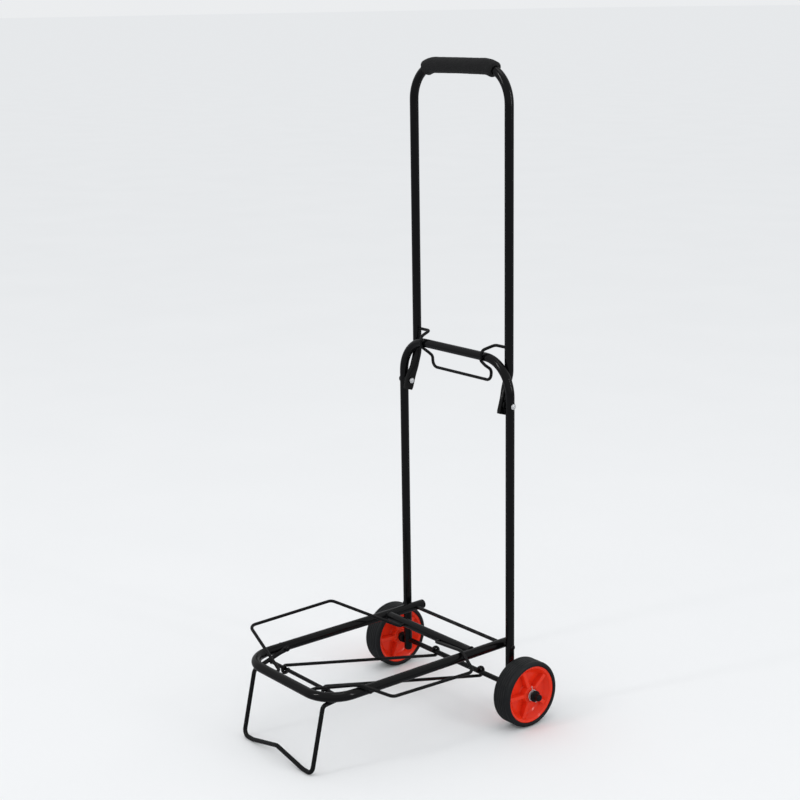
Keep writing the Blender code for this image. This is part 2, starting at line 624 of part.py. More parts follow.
def wing_path(side):
    """The centre line of a wing's wire. The left one is turned half a turn, and its arms run straight."""
    front_pin = Vector((WING_FRONT_PIN_X, WING_FRONT_PIN_Y, DECK_Z))
    rear_pin = Vector((WING_REAR_PIN_X, WING_REAR_PIN_Y, DECK_Z))
    pin_line = (rear_pin - front_pin).normalized()
    depth = 0.0046
    inner_x, outer_x = DECK_HALF - WING_OVER_HALF, DECK_HALF + WING_OVER_HALF
    front_corner = Vector(WING_FRONT_CORNER)
    rear_corner = Vector(WING_REAR_CORNER)
    front_root = front_pin + pin_line * 0.0085
    rear_root = rear_pin - pin_line * 0.0075

    def over(root, corner, x):
        share = (x - root.x) / (corner.x - root.x)
        return Vector((x, root.y + (corner.y - root.y) * share, WING_OVER_Z))

    front_arm = [over(front_root, front_corner, x) for x in (inner_x, outer_x)]
    rear_arm = [over(rear_root, rear_corner, x) for x in (outer_x, inner_x)]
    radii = WING_RADII
    if side < 0:
        front_arm, rear_arm, radii = [], [], STRAIGHT_WING_RADII
    corners = [front_pin - pin_line * depth, front_root, *front_arm, front_corner]
    corners += [rear_corner, *rear_arm, rear_root, rear_pin + pin_line * depth]
    points = rounded_path(corners, radii, math.radians(20))
    if side > 0:
        return points
    half_turn = Matrix.Rotation(math.pi, 3, (0, 0, 1))
    centre = Vector((0, WING_CENTRE_Y, 0))
    return [half_turn @ (p - centre) + centre for p in points]


def build_wing(pivot, side, label):
    """A side wing. The left one stands raised about its own pin line."""
    points = wing_path(side)
    if side < 0:
        turn = Matrix.Rotation(LEFT_WING_RAISED, 3, (points[-1] - points[0]).normalized() * -1)
        points = [turn @ (p - points[0]) + points[0] for p in points]
    add_object("wing_" + label, round_bar(points, WING_R, WIRE_SIDES, (0, 0, 1)), PAINT, pivot)


def build_wheel(pivot, side, label):
    """A wheel: a dished rim with five spokes and a solid tyre."""
    half = RIM_WIDTH / 2
    web = RIM_WEB / 2
    bore = AXLE_R + GAP
    outline = [(-half, bore), (-half, HUB_R - 0.001), (-half + 0.001, HUB_R), (-web, HUB_R + 0.002)]
    outline += [(-web, RIM_R - 0.006), (-half + 0.001, RIM_R - 0.0035), (-half, RIM_R - 0.003), (-half, RIM_R)]
    outline += [(-t, r) for t, r in reversed(outline)]
    centre = (side * WHEEL_X, 0, WHEEL_R)
    rim = add_object("rim_" + label, turned(outline, centre, (1, 0, 0), RIM_SEGMENTS), RED_PLASTIC, pivot)
    for spoke in range(SPOKES):
        angle = 2 * math.pi * spoke / SPOKES + SPOKE_TURN
        direction = Vector((0, math.cos(angle), math.sin(angle)))
        start = Vector(centre) + direction * (HUB_R - 0.003)
        end = Vector(centre) + direction * (RIM_R - 0.002)
        spoke_half = (0.0088, 0.0030, 0.6, 0.0)
        bar = sweep([start, end], [spoke_half, spoke_half], 8, (1, 0, 0))
        boolean(rim, bar, "UNION", pivot)

    wide = TYRE_WIDTH / 2
    shoulder = 0.0045
    tread = WHEEL_R / math.cos(math.pi / TYRE_SEGMENTS)
    tyre = [(-wide + 0.001, TYRE_INNER_R), (-wide, TYRE_INNER_R + 0.001), (-wide, tread - shoulder)]
    for step in range(1, 3):
        angle = math.radians(45 * step)
        tyre.append((-wide + shoulder * (1 - math.cos(angle)), tread - shoulder * (1 - math.sin(angle))))
    tyre += [(-t, r) for t, r in reversed(tyre)]
    add_object("tyre_" + label, turned(tyre, centre, (1, 0, 0), TYRE_SEGMENTS), RUBBER, pivot)


def main():
    """Build the cart, one sub-assembly after another."""
    clear_scene()
    cart = pivot_empty("cart", Vector((0, AXLE_Y, 0)))
    mast = pivot_empty("mast_frame", Vector((0, 0, 0)))
    mast.parent = cart
    build_lower_mast(mast)
    handle = pivot_empty("handle_hinge", Vector((0, 0, HINGE_Z)), mast)
    build_handle(handle)
    latch = pivot_empty("latch_hinge", Vector((0, HANDLE_Y, LATCH_PIVOT_Z)), handle)
    build_latch(latch)
    platform = pivot_empty("platform_hinge", Vector((0, 0, DECK_Z)), mast)
    build_platform(platform)
    link_hinge = pivot_empty("link_hinge", Vector((0, 0, WHEEL_R)), mast)
    leg_hinge = pivot_empty("leg_hinge", Vector((0, CROSS_ROD_Y, CROSS_ROD_Z)), link_hinge)
    build_leg(leg_hinge)
    for side, label in ((-1, "left"), (1, "right")):
        build_link(link_hinge, side, label)
        pin = wing_path(side)[0]
        build_wing(pivot_empty("wing_hinge_" + label, pin, platform), side, label)
        wheel = pivot_empty("wheel_hub_" + label, Vector((side * WHEEL_X, 0, WHEEL_R)), mast)
        build_wheel(wheel, side, label)


main()
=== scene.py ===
"""The finished look of a folding luggage cart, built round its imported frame.

Every sub-assembly is a class that reads its places from the frame, builds its meshes and dresses them.
Lengths are in metres, in the frame's own axes: X along the axle, -Y towards the platform's front, Z up.
"""

import json
import logging
import math
from dataclasses import dataclass, field
from enum import Enum
from typing import Sequence

import bmesh
import bpy
import numpy as np
from mathutils import Matrix, Vector, noise


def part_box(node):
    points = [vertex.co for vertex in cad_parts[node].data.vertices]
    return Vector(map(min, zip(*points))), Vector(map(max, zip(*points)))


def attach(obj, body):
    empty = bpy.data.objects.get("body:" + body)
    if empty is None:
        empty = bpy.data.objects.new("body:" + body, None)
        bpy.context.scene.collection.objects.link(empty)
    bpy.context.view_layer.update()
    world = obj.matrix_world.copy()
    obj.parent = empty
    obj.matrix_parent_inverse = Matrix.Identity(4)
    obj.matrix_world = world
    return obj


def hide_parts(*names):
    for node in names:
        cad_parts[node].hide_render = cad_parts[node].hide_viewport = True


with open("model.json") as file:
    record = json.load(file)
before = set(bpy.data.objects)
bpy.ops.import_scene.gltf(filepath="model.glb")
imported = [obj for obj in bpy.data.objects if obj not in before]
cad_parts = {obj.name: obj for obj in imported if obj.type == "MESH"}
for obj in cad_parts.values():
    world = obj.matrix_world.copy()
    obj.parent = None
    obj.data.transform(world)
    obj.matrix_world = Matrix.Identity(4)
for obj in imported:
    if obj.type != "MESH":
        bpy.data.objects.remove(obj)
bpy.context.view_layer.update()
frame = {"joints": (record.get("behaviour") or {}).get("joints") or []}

log = logging.getLogger("luggage_cart")

Profile = Sequence[tuple[float, float]]
TUBE_SIDES = 36
FINE_STEP = math.radians(5)
CAD_TUBE_FACETS = 16
CAD_LEG_FACETS = 10
FACET = math.cos(math.pi / CAD_TUBE_FACETS)
LEG_FACET = math.cos(math.pi / CAD_LEG_FACETS)
GAP = 0.0003
STRAIGHT_RUN = 0.02
AXLE_BORE = 0.0042
DUST_COLOUR = (0.42, 0.40, 0.37)
DUST_SCALE = 22.0


class Side(Enum):
    """The cart's two sides, as the sign of X."""

    LEFT = -1
    RIGHT = 1

    @property
    def label(self) -> str:
        """The side's word in node names."""
        return self.name.lower()


class Slot(Enum):
    """The record's material slots."""

    PAINT = "black_paint"
    WIRE = "black_wire"
    ZINC = "zinc"
    RED = "red_plastic"
    RUBBER = "black_rubber"
    PLASTIC = "black_plastic"
    FOAM = "black_foam"


# ---------------------------------------------------------------- shader groups

def new_group(name: str, inputs: dict[str, float], outputs: dict[str, str]) -> bpy.types.NodeTree:
    """Start a shader node group.

    Args:
        name: The group's name.
        inputs: Float inputs with their default values.
        outputs: Output names with their socket types.

    Returns:
        The group, holding its input and output nodes.
    """
    tree = bpy.data.node_groups.new(name, "ShaderNodeTree")
    for label, value in inputs.items():
        socket = tree.interface.new_socket(name=label, in_out="INPUT", socket_type="NodeSocketFloat")
        socket.default_value = value
    for label, kind in outputs.items():
        tree.interface.new_socket(name=label, in_out="OUTPUT", socket_type=kind)
    tree.nodes.new("NodeGroupInput")
    tree.nodes.new("NodeGroupOutput")
    return tree


def node(tree: bpy.types.NodeTree, kind: str, **settings: object) -> bpy.types.Node:
    """Add a node and set its plain properties."""
    made = tree.nodes.new(kind)
    for name, value in settings.items():
        setattr(made, name, value)
    return made


def math_node(tree: bpy.types.NodeTree, operation: str, first: object,
              second: object = 0.0) -> bpy.types.NodeSocket:
    """Add a maths node fed by sockets or plain numbers.

    Args:
        tree: The tree that it goes into.
        operation: Blender's name of the operation.
        first: A socket or a number.
        second: A socket or a number.

    Returns:
        The node's result.
    """
    made = node(tree, "ShaderNodeMath", operation=operation)
    for index, value in enumerate((first, second)):
        if isinstance(value, bpy.types.NodeSocket):
            tree.links.new(value, made.inputs[index])
        else:
            made.inputs[index].default_value = value
    return made.outputs[0]


def object_noise(tree: bpy.types.NodeTree, scale: object, detail: float = 3.0) -> bpy.types.NodeSocket:
    """Add noise on Object coordinates and return its value."""
    coordinates = node(tree, "ShaderNodeTexCoord")
    texture = node(tree, "ShaderNodeTexNoise")
    texture.inputs["Detail"].default_value = detail
    tree.links.new(coordinates.outputs["Object"], texture.inputs["Vector"])
    if isinstance(scale, bpy.types.NodeSocket):
        tree.links.new(scale, texture.inputs["Scale"])
    else:
        texture.inputs["Scale"].default_value = scale
    return texture.outputs["Fac"]


def ramp(tree: bpy.types.NodeTree, value: bpy.types.NodeSocket, low: float, high: float) -> bpy.types.NodeSocket:
    """Stretch a value so that low becomes 0 and high becomes 1, held inside those ends."""
    made = node(tree, "ShaderNodeMapRange", interpolation_type="SMOOTHSTEP")
    made.inputs["From Min"].default_value = low
    made.inputs["From Max"].default_value = high
    tree.links.new(value, made.inputs["Value"])
    return made.outputs["Result"]


def mixed(tree: bpy.types.NodeTree, factor: bpy.types.NodeSocket, first: object,
          second: object) -> bpy.types.NodeSocket:
    """Mix two colours by a factor.

    Args:
        tree: The tree that the mix goes into.
        factor: 0 for the first colour, 1 for the second.
        first: A socket or a plain colour.
        second: A socket or a plain colour.

    Returns:
        The mixed colour.
    """
    mix = node(tree, "ShaderNodeMix", data_type="RGBA")
    tree.links.new(factor, mix.inputs["Factor"])
    for name, value in (("A", first), ("B", second)):
        socket = next(s for s in mix.inputs if s.name == name and s.type == "RGBA")
        if isinstance(value, bpy.types.NodeSocket):
            tree.links.new(value, socket)
        else:
            socket.default_value = (*value, 1.0)
    return next(s for s in mix.outputs if s.type == "RGBA")


def wear_group() -> bpy.types.NodeTree:
    """Edge wear: a mask that is 1 on worn convex edges, broken up by noise."""
    tree = new_group("edge_wear", {"Amount": 0.5, "Scale": 60.0}, {"Mask": "NodeSocketFloat"})
    given, result = tree.nodes["Group Input"], tree.nodes["Group Output"]
    geometry = node(tree, "ShaderNodeNewGeometry")
    edge = ramp(tree, geometry.outputs["Pointiness"], 0.52, 0.60)
    broken = ramp(tree, object_noise(tree, given.outputs["Scale"], 5.0), 0.42, 0.62)
    both = math_node(tree, "MULTIPLY", edge, broken)
    tree.links.new(math_node(tree, "MULTIPLY", both, given.outputs["Amount"]), result.inputs["Mask"])
    return tree


def grain_group() -> bpy.types.NodeTree:
    """Fine surface grain: a value about 0.5 for colour and roughness, and a height for bump."""
    outputs = {"Value": "NodeSocketFloat", "Height": "NodeSocketFloat"}
    tree = new_group("surface_grain", {"Scale": 400.0, "Contrast": 0.5}, outputs)
    given, result = tree.nodes["Group Input"], tree.nodes["Group Output"]
    fine = object_noise(tree, given.outputs["Scale"], 4.0)
    broad = object_noise(tree, math_node(tree, "MULTIPLY", given.outputs["Scale"], 0.08), 3.0)
    centred = math_node(tree, "SUBTRACT", math_node(tree, "MULTIPLY", math_node(tree, "ADD", fine, broad), 0.5), 0.5)
    value = math_node(tree, "ADD", math_node(tree, "MULTIPLY", centred, given.outputs["Contrast"]), 0.5)
    tree.links.new(value, result.inputs["Value"])
    tree.links.new(fine, result.inputs["Height"])
    return tree


def dust_group() -> bpy.types.NodeTree:
    """Dust: a mask that is strongest on faces that look up."""
    tree = new_group("settled_dust", {"Amount": 0.2, "Scale": 25.0}, {"Mask": "NodeSocketFloat"})
    given, result = tree.nodes["Group Input"], tree.nodes["Group Output"]
    geometry = node(tree, "ShaderNodeNewGeometry")
    split = node(tree, "ShaderNodeSeparateXYZ")
    tree.links.new(geometry.outputs["Normal"], split.inputs["Vector"])
    up = ramp(tree, split.outputs["Z"], 0.1, 1.0)
    patchy = ramp(tree, object_noise(tree, given.outputs["Scale"], 6.0), 0.35, 0.75)
    both = math_node(tree, "MULTIPLY", up, patchy)
    tree.links.new(math_node(tree, "MULTIPLY", both, given.outputs["Amount"]), result.inputs["Mask"])
    return tree


@dataclass(frozen=True)
class Finish:
    """A surface finish: plain values on the shader, with wear, grain and dust laid over them."""

    name: str
    slot: Slot
    colour: tuple[float, float, float]
    rough: float
    metallic: float = 0.0
    coat: float = 0.0
    coat_rough: float = 0.05
    specular: float = 0.5
    sheen: float = 0.0
    subsurface: float = 0.0
    worn_colour: tuple[float, float, float] = (0.35, 0.35, 0.36)
    worn_rough: float = 0.35
    wear: float = 0.3
    wear_scale: float = 90.0
    grain_scale: float = 500.0
    grain_contrast: float = 0.5
    tint: float = 0.35
    bump: float = 0.1
    bump_depth: float = 0.0002
    dust: float = 0.05
    cells: float = 0.0

    def material(self, groups: dict[str, bpy.types.NodeTree]) -> bpy.types.Material:
        """Build the finish as a node material.

        Args:
            groups: The shared shader groups by name.

        Returns:
            The material.
        """
        mat = bpy.data.materials.new(self.name)
        mat.use_nodes = True
        tree = mat.node_tree
        shader = tree.nodes["Principled BSDF"]
        shader.inputs["Metallic"].default_value = self.metallic
        shader.inputs["Specular IOR Level"].default_value = self.specular
        shader.inputs["Coat Weight"].default_value = self.coat
        shader.inputs["Coat Roughness"].default_value = self.coat_rough
        shader.inputs["Sheen Weight"].default_value = self.sheen
        shader.inputs["Subsurface Weight"].default_value = self.subsurface
        shader.inputs["Subsurface Radius"].default_value = (0.004, 0.001, 0.0006)
        shader.inputs["Subsurface Scale"].default_value = 0.4
        wear = self._placed(tree, groups["edge_wear"], Amount=self.wear, Scale=self.wear_scale)
        grain = self._placed(tree, groups["surface_grain"], Scale=self.grain_scale, Contrast=self.grain_contrast)
        dust = self._placed(tree, groups["settled_dust"], Amount=self.dust, Scale=DUST_SCALE)

        light = tuple(min(1.0, c * (1 + self.tint)) for c in self.colour)
        dark = tuple(c * (1 - self.tint) for c in self.colour)
        base = mixed(tree, grain.outputs["Value"], dark, light)
        worn = mixed(tree, wear.outputs["Mask"], base, self.worn_colour)
        dusty = mixed(tree, dust.outputs["Mask"], worn, DUST_COLOUR)
        tree.links.new(dusty, shader.inputs["Base Color"])

        spread = math_node(tree, "MULTIPLY", math_node(tree, "SUBTRACT", grain.outputs["Value"], 0.5), 0.35)
        rough = math_node(tree, "ADD", spread, self.rough)
        worn_part = math_node(tree, "MULTIPLY", wear.outputs["Mask"], self.worn_rough - self.rough)
        dust_part = math_node(tree, "MULTIPLY", dust.outputs["Mask"], 0.6)
        total = math_node(tree, "ADD", math_node(tree, "ADD", rough, worn_part), dust_part)
        held = node(tree, "ShaderNodeClamp")
        held.inputs["Min"].default_value = 0.05
        tree.links.new(total, held.inputs["Value"])
        tree.links.new(held.outputs[0], shader.inputs["Roughness"])

        height = grain.outputs["Height"]
        if self.cells:
            height = self._cell_height(tree, height)
        bump = node(tree, "ShaderNodeBump")
        bump.inputs["Strength"].default_value = self.bump
        bump.inputs["Distance"].default_value = self.bump_depth
        tree.links.new(height, bump.inputs["Height"])
        tree.links.new(bump.outputs["Normal"], shader.inputs["Normal"])
        mat.diffuse_color = (*self.colour, 1.0)
        return mat

    def _cell_height(self, tree: bpy.types.NodeTree, height: bpy.types.NodeSocket) -> bpy.types.NodeSocket:
        """Add closed foam cells to the height."""
        coordinates = node(tree, "ShaderNodeTexCoord")
        cells = node(tree, "ShaderNodeTexVoronoi")
        cells.inputs["Scale"].default_value = self.cells
        tree.links.new(coordinates.outputs["Object"], cells.inputs["Vector"])
        return math_node(tree, "ADD", math_node(tree, "MULTIPLY", cells.outputs["Distance"], 1.4), height)

    @staticmethod
    def _placed(tree: bpy.types.NodeTree, group: bpy.types.NodeTree, **values: float) -> bpy.types.Node:
        """Place a shader group in a material with its own values."""
        placed = node(tree, "ShaderNodeGroup", node_tree=group)
        for name, value in values.items():
            placed.inputs[name].default_value = value
        return placed


FINISHES = (
    Finish("gloss_enamel", Slot.PAINT, (0.0028, 0.0028, 0.0031), 0.15, coat=0.10, specular=0.26, wear=0.25,
           worn_colour=(0.05, 0.05, 0.05), grain_scale=900.0, bump=0.05, dust=0.006),
    Finish("wire_enamel", Slot.WIRE, (0.0030, 0.0030, 0.0033), 0.18, coat=0.08, specular=0.26, wear=0.2,
           worn_colour=(0.06, 0.06, 0.06), grain_scale=1100.0, bump=0.06, dust=0.006),
    Finish("bright_zinc", Slot.ZINC, (0.78, 0.79, 0.80), 0.27, metallic=0.6, worn_colour=(0.4, 0.4, 0.4), wear=0.3,
           grain_scale=1600.0, grain_contrast=0.9, tint=0.14, bump=0.12, dust=0.01),
    Finish("moulded_red", Slot.RED, (0.80, 0.034, 0.010), 0.22, coat=0.2, coat_rough=0.06, specular=0.24,
           subsurface=0.06, worn_colour=(0.82, 0.06, 0.035), worn_rough=0.4, wear=0.35, grain_scale=700.0, tint=0.07,
           bump=0.05, dust=0.008),
    Finish("solid_rubber", Slot.RUBBER, (0.0088, 0.0100, 0.0114), 0.42, specular=0.30, worn_colour=(0.025, 0.025, 0.025),
           worn_rough=0.8, wear=0.6, grain_scale=1300.0, grain_contrast=1.0, tint=0.4, bump=0.35, dust=0.02),
    Finish("satin_plastic", Slot.PLASTIC, (0.0042, 0.0046, 0.0050), 0.34, specular=0.24, worn_colour=(0.04, 0.04, 0.04),
           wear=0.35, grain_scale=1500.0, tint=0.3, bump=0.2, dust=0.01),
    Finish("cell_foam", Slot.FOAM, (0.0115, 0.0115, 0.0120), 0.7, sheen=0.04, specular=0.16,
           worn_colour=(0.03, 0.03, 0.03), worn_rough=0.9, wear=0.5, grain_scale=2400.0, grain_contrast=1.0, tint=0.4,
           bump=0.5, bump_depth=0.0004, dust=0.012, cells=1500.0),
)


# ---------------------------------------------------------------- paths and meshes

def rounded_path(corners: Sequence[Sequence[float]], radii: Sequence[float],
                 step: float = FINE_STEP) -> list[Vector]:
    """Straight runs joined by arcs.

    Args:
        corners: The path's corner points, with its two ends.
        radii: The arc radius at each inner corner.
        step: The turn between neighbouring points on an arc.

    Returns:
        The path's points.
    """
    spots = [Vector(c) for c in corners]
    points = [spots[0]]
    for before, corner, after, radius in zip(spots, spots[1:], spots[2:], radii):
        arrive = (corner - before).normalized()
        leave = (after - corner).normalized()
        turn = arrive.angle(leave)
        if turn < 1e-4:
            continue
        setback = radius * math.tan(turn / 2)
        centre = corner + (leave - arrive).normalized() * (radius / math.cos(turn / 2))
        count = max(3, round(turn / step))
        axis = arrive.cross(leave).normalized()
        spoke = (corner - arrive * setback) - centre
        points += [centre + Matrix.Rotation(turn * i / count, 3, axis) @ spoke for i in range(count + 1)]
    points.append(spots[-1])
    return points


def arc(centre: Sequence[float], start: Sequence[float], axis: Sequence[float], angle: float,
        step: float = FINE_STEP) -> list[Vector]:
    """Points on an arc that starts at a point and turns about an axis through a centre."""
    middle = Vector(centre)
    spoke = Vector(start) - middle
    count = max(3, math.ceil(abs(angle) / step))
    return [middle + Matrix.Rotation(angle * i / count, 3, Vector(axis)) @ spoke for i in range(count + 1)]


def filled(points: Sequence[Vector], longest: float) -> list[Vector]:
    """Split long straight runs so that no stretch is longer than given."""
    result = [points[0]]
    for a, b in zip(points, points[1:]):
        count = max(1, math.ceil((b - a).length / longest))
        result += [a.lerp(b, i / count) for i in range(1, count + 1)]
    return result


def lengths_from_start(points: Sequence[Vector]) -> list[float]:
    """The distance along the path of each point."""
    total, result = 0.0, [0.0]
    for a, b in zip(points, points[1:]):
        total += (b - a).length
        result.append(total)
    return result


@dataclass
class Section:
    """One station of a swept bar."""

    side: float
    up: float
    square: float = 1.0
    shift: float = 0.0
    dent: float = 0.0

    def point(self, angle: float) -> tuple[float, float]:
        """The outline's point at an angle, across and up."""
        c, s = math.cos(angle), math.sin(angle)
        across = self.side * math.copysign(abs(c) ** self.square, c)
        across *= 1 - self.dent * max(0.0, 1 - (s / 0.75) ** 2)
        return across + self.shift, self.up * math.copysign(abs(s) ** self.square, s)


def sweep(points: Sequence[Vector], sections: Sequence[Section], sides: int,
          reference: Sequence[float]) -> bmesh.types.BMesh:
    """A closed bar swept along points.

    Args:
        points: The centre line.
        sections: A section for each point.
        sides: Points round the bar.
        reference: The across direction at the start.

    Returns:
        The bar's mesh.
    """
    bm = bmesh.new()
    rings = []
    across = Vector(reference)
    for i, (point, section) in enumerate(zip(points, sections)):
        before = (point - points[i - 1]).normalized() if i else None
        after = (points[i + 1] - point).normalized() if i + 1 < len(points) else None
        tangent = ((before or after) + (after or before)).normalized()
        across = (across - tangent * across.dot(tangent)).normalized()
        up = tangent.cross(across)
        ring = []
        for k in range(sides):
            a, b = section.point(2 * math.pi * (k + 0.5) / sides)
            ring.append(bm.verts.new(point + across * a + up * b))
        rings.append(ring)
    for low, high in zip(rings, rings[1:]):
        for k in range(sides):
            n = (k + 1) % sides
            bm.faces.new((low[k], low[n], high[n], high[k]))
    for ring, point in ((rings[0], points[0]), (rings[-1], points[-1])):
        cap_centre = bm.verts.new(sum((v.co for v in ring), Vector()) / sides)
        for k in range(sides):
            bm.faces.new((ring[k], ring[(k + 1) % sides], cap_centre))
    return bm


def round_ends(points: list[Vector], radius: float, nose: float) -> tuple[list[Vector], list[Section]]:
    """Round a bar's two ends over a nose length.

    Args:
        points: The centre line.
        radius: The bar's radius.
        nose: The length over which each end draws in.

    Returns:
        The new centre line and its sections.
    """
    steps = [(nose * (1 - math.cos(a)), radius - nose * (1 - math.sin(a))) for a in np.linspace(0, math.pi / 2, 6)]
    first = (points[1] - points[0]).normalized()
    last = (points[-2] - points[-1]).normalized()
    head = [points[0] + first * d for d, _ in steps]
    tail = [points[-1] + last * d for d, _ in reversed(steps)]
    radii = [r for _, r in steps] + [radius] * (len(points) - 2) + [r for _, r in reversed(steps)]
    return head + list(points[1:-1]) + tail, [Section(r, r) for r in radii]


def turned(profile: Profile, origin: Sequence[float], axis: Sequence[float], segments: int = 64) -> bmesh.types.BMesh:
    """A closed solid of revolution from an outline of (distance along the axis, radius) points."""
    direction = Vector(axis).normalized()
    outward = Vector((0, 0, 1)) if abs(direction.z) < 0.9 else Vector((1, 0, 0))
    bm = bmesh.new()
    rings = []
    for i in range(segments):
        spoke = Matrix.Rotation(2 * math.pi * i / segments, 3, direction) @ outward
        rings.append([bm.verts.new(Vector(origin) + direction * t + spoke * r) for t, r in profile])
    for i in range(segments):
        here, there = rings[i], rings[(i + 1) % segments]
        for k in range(len(profile)):
            n = (k + 1) % len(profile)
            bm.faces.new((here[k], here[n], there[n], there[k]))
    bmesh.ops.remove_doubles(bm, verts=bm.verts, dist=1e-7)
    return bm


def softened(profile: Profile, radius: float, steps: int = 4) -> list[tuple[float, float]]:
    """Round the corners of a closed outline by small arcs."""
    result = []
    spots = [np.array(p, float) for p in profile]
    for i, corner in enumerate(spots):
        before, after = spots[i - 1], spots[(i + 1) % len(spots)]
        arrive, leave = corner - before, after - corner
        reach = min(radius, 0.45 * np.linalg.norm(arrive), 0.45 * np.linalg.norm(leave))
        a = corner - arrive / np.linalg.norm(arrive) * reach
        b = corner + leave / np.linalg.norm(leave) * reach
        for t in np.linspace(0, 1, steps + 1):
            result.append(tuple((1 - t) ** 2 * a + 2 * t * (1 - t) * corner + t * t * b))
    return result


def dome(base: Sequence[float], outward: Sequence[float], radius: float, height: float) -> bmesh.types.BMesh:
    """A rivet head: a flat underside, a short rim and a smooth crown with a set centre."""
    outline = [(0.0, 0.0), (0.0, radius * 0.93), (height * 0.10, radius)]
    for angle in np.linspace(0.12, math.pi / 2, 9)[:-1]:
        outline.append((height * (0.12 + 0.88 * math.sin(angle)), radius * math.cos(angle) ** 0.8))
    outline += [(height, radius * 0.25), (height * 0.9, radius * 0.1), (height * 0.9, 0.0)]
    return turned(outline, base, outward, 40)


def joined(meshes: Sequence[bmesh.types.BMesh]) -> bmesh.types.BMesh:
    """Put several meshes into one."""
    whole = bmesh.new()
    for bm in meshes:
        mesh = bpy.data.meshes.new("part")
        bm.to_mesh(mesh)
        bm.free()
        whole.from_mesh(mesh)
        bpy.data.meshes.remove(mesh)
    return whole


def joint_point(name: str) -> Vector:
    """A point on a joint's axis at rest."""
    return Vector(next(j for j in frame["joints"] if j["name"] == name)["pos_m"])


# ---------------------------------------------------------------- geometry nodes

@dataclass
class TreeInput:
    """A named input of a geometry tree."""

    name: str
    kind: str
    value: object = None


def geometry_tree(name: str, inputs: Sequence[TreeInput]) -> bpy.types.NodeTree:
    """Start a geometry tree with a mesh going in, a mesh coming out and named inputs."""
    tree = bpy.data.node_groups.new(name, "GeometryNodeTree")
    tree.interface.new_socket(name="Mesh", in_out="INPUT", socket_type="NodeSocketGeometry")
    for item in inputs:
        socket = tree.interface.new_socket(name=item.name, in_out="INPUT", socket_type=item.kind)
        if item.value is not None:
            socket.default_value = item.value
    tree.interface.new_socket(name="Mesh", in_out="OUTPUT", socket_type="NodeSocketGeometry")
    tree.nodes.new("NodeGroupInput")
    tree.nodes.new("NodeGroupOutput")
    return tree


def finish_tree(tree: bpy.types.NodeTree, shape: bpy.types.NodeSocket) -> None:
    """End a geometry tree in Realize Instances and Set Material."""
    given, result = tree.nodes["Group Input"], tree.nodes["Group Output"]
    real = node(tree, "GeometryNodeRealizeInstances")
    smooth = node(tree, "GeometryNodeSetShadeSmooth")
    finish = node(tree, "GeometryNodeSetMaterial")
    tree.links.new(shape, real.inputs["Geometry"])
    tree.links.new(real.outputs["Geometry"], smooth.inputs["Geometry"])
    tree.links.new(smooth.outputs["Geometry"], finish.inputs["Geometry"])
    tree.links.new(given.outputs["Finish"], finish.inputs["Material"])
    tree.links.new(finish.outputs["Geometry"], result.inputs["Mesh"])


def wire_tree() -> bpy.types.NodeTree:
    """Bent wire: a round bar along the edges of a line of points, thickness scaled by their swell."""
    tree = geometry_tree("bent_wire", (
        TreeInput("Radius", "NodeSocketFloat", 0.002),
        TreeInput("Sides", "NodeSocketInt", 24),
        TreeInput("Finish", "NodeSocketMaterial"),
    ))
    given = tree.nodes["Group Input"]
    line = node(tree, "GeometryNodeMeshToCurve")
    swell = node(tree, "GeometryNodeInputNamedAttribute", data_type="FLOAT")
    swell.inputs["Name"].default_value = "swell"
    thick = node(tree, "GeometryNodeSetCurveRadius")
    ring = node(tree, "GeometryNodeCurvePrimitiveCircle")
    bar = node(tree, "GeometryNodeCurveToMesh")
    bar.inputs["Fill Caps"].default_value = True
    tree.links.new(given.outputs["Mesh"], line.inputs["Mesh"])
    tree.links.new(line.outputs["Curve"], thick.inputs["Curve"])
    tree.links.new(swell.outputs["Attribute"], thick.inputs["Radius"])
    tree.links.new(given.outputs["Sides"], ring.inputs["Resolution"])
    tree.links.new(given.outputs["Radius"], ring.inputs["Radius"])
    tree.links.new(thick.outputs["Curve"], bar.inputs["Curve"])
    tree.links.new(ring.outputs["Curve"], bar.inputs["Profile Curve"])
    finish_tree(tree, bar.outputs["Mesh"])
    return tree


def bead_tree() -> bpy.types.NodeTree:
    """Weld bead: small overlapping lumps on the points of a line, each a little different."""
    tree = geometry_tree("weld_bead", (
        TreeInput("Lump", "NodeSocketFloat", 0.001),
        TreeInput("Seed", "NodeSocketInt", 7),
        TreeInput("Finish", "NodeSocketMaterial"),
    ))
    given = tree.nodes["Group Input"]
    lump = node(tree, "GeometryNodeMeshIcoSphere")
    lump.inputs["Subdivisions"].default_value = 3
    sizes = node(tree, "FunctionNodeRandomValue", data_type="FLOAT")
    low = next(s for s in sizes.inputs if s.name == "Min" and s.type == "VALUE")
    high = next(s for s in sizes.inputs if s.name == "Max" and s.type == "VALUE")
    low.default_value, high.default_value = 0.85, 1.15
    place = node(tree, "GeometryNodeInstanceOnPoints")
    tree.links.new(given.outputs["Lump"], lump.inputs["Radius"])
    tree.links.new(given.outputs["Seed"], sizes.inputs["Seed"])
    tree.links.new(given.outputs["Mesh"], place.inputs["Points"])
    tree.links.new(lump.outputs["Mesh"], place.inputs["Instance"])
    tree.links.new(next(s for s in sizes.outputs if s.type == "VALUE"), place.inputs["Scale"])
    finish_tree(tree, place.outputs["Instances"])
    return tree


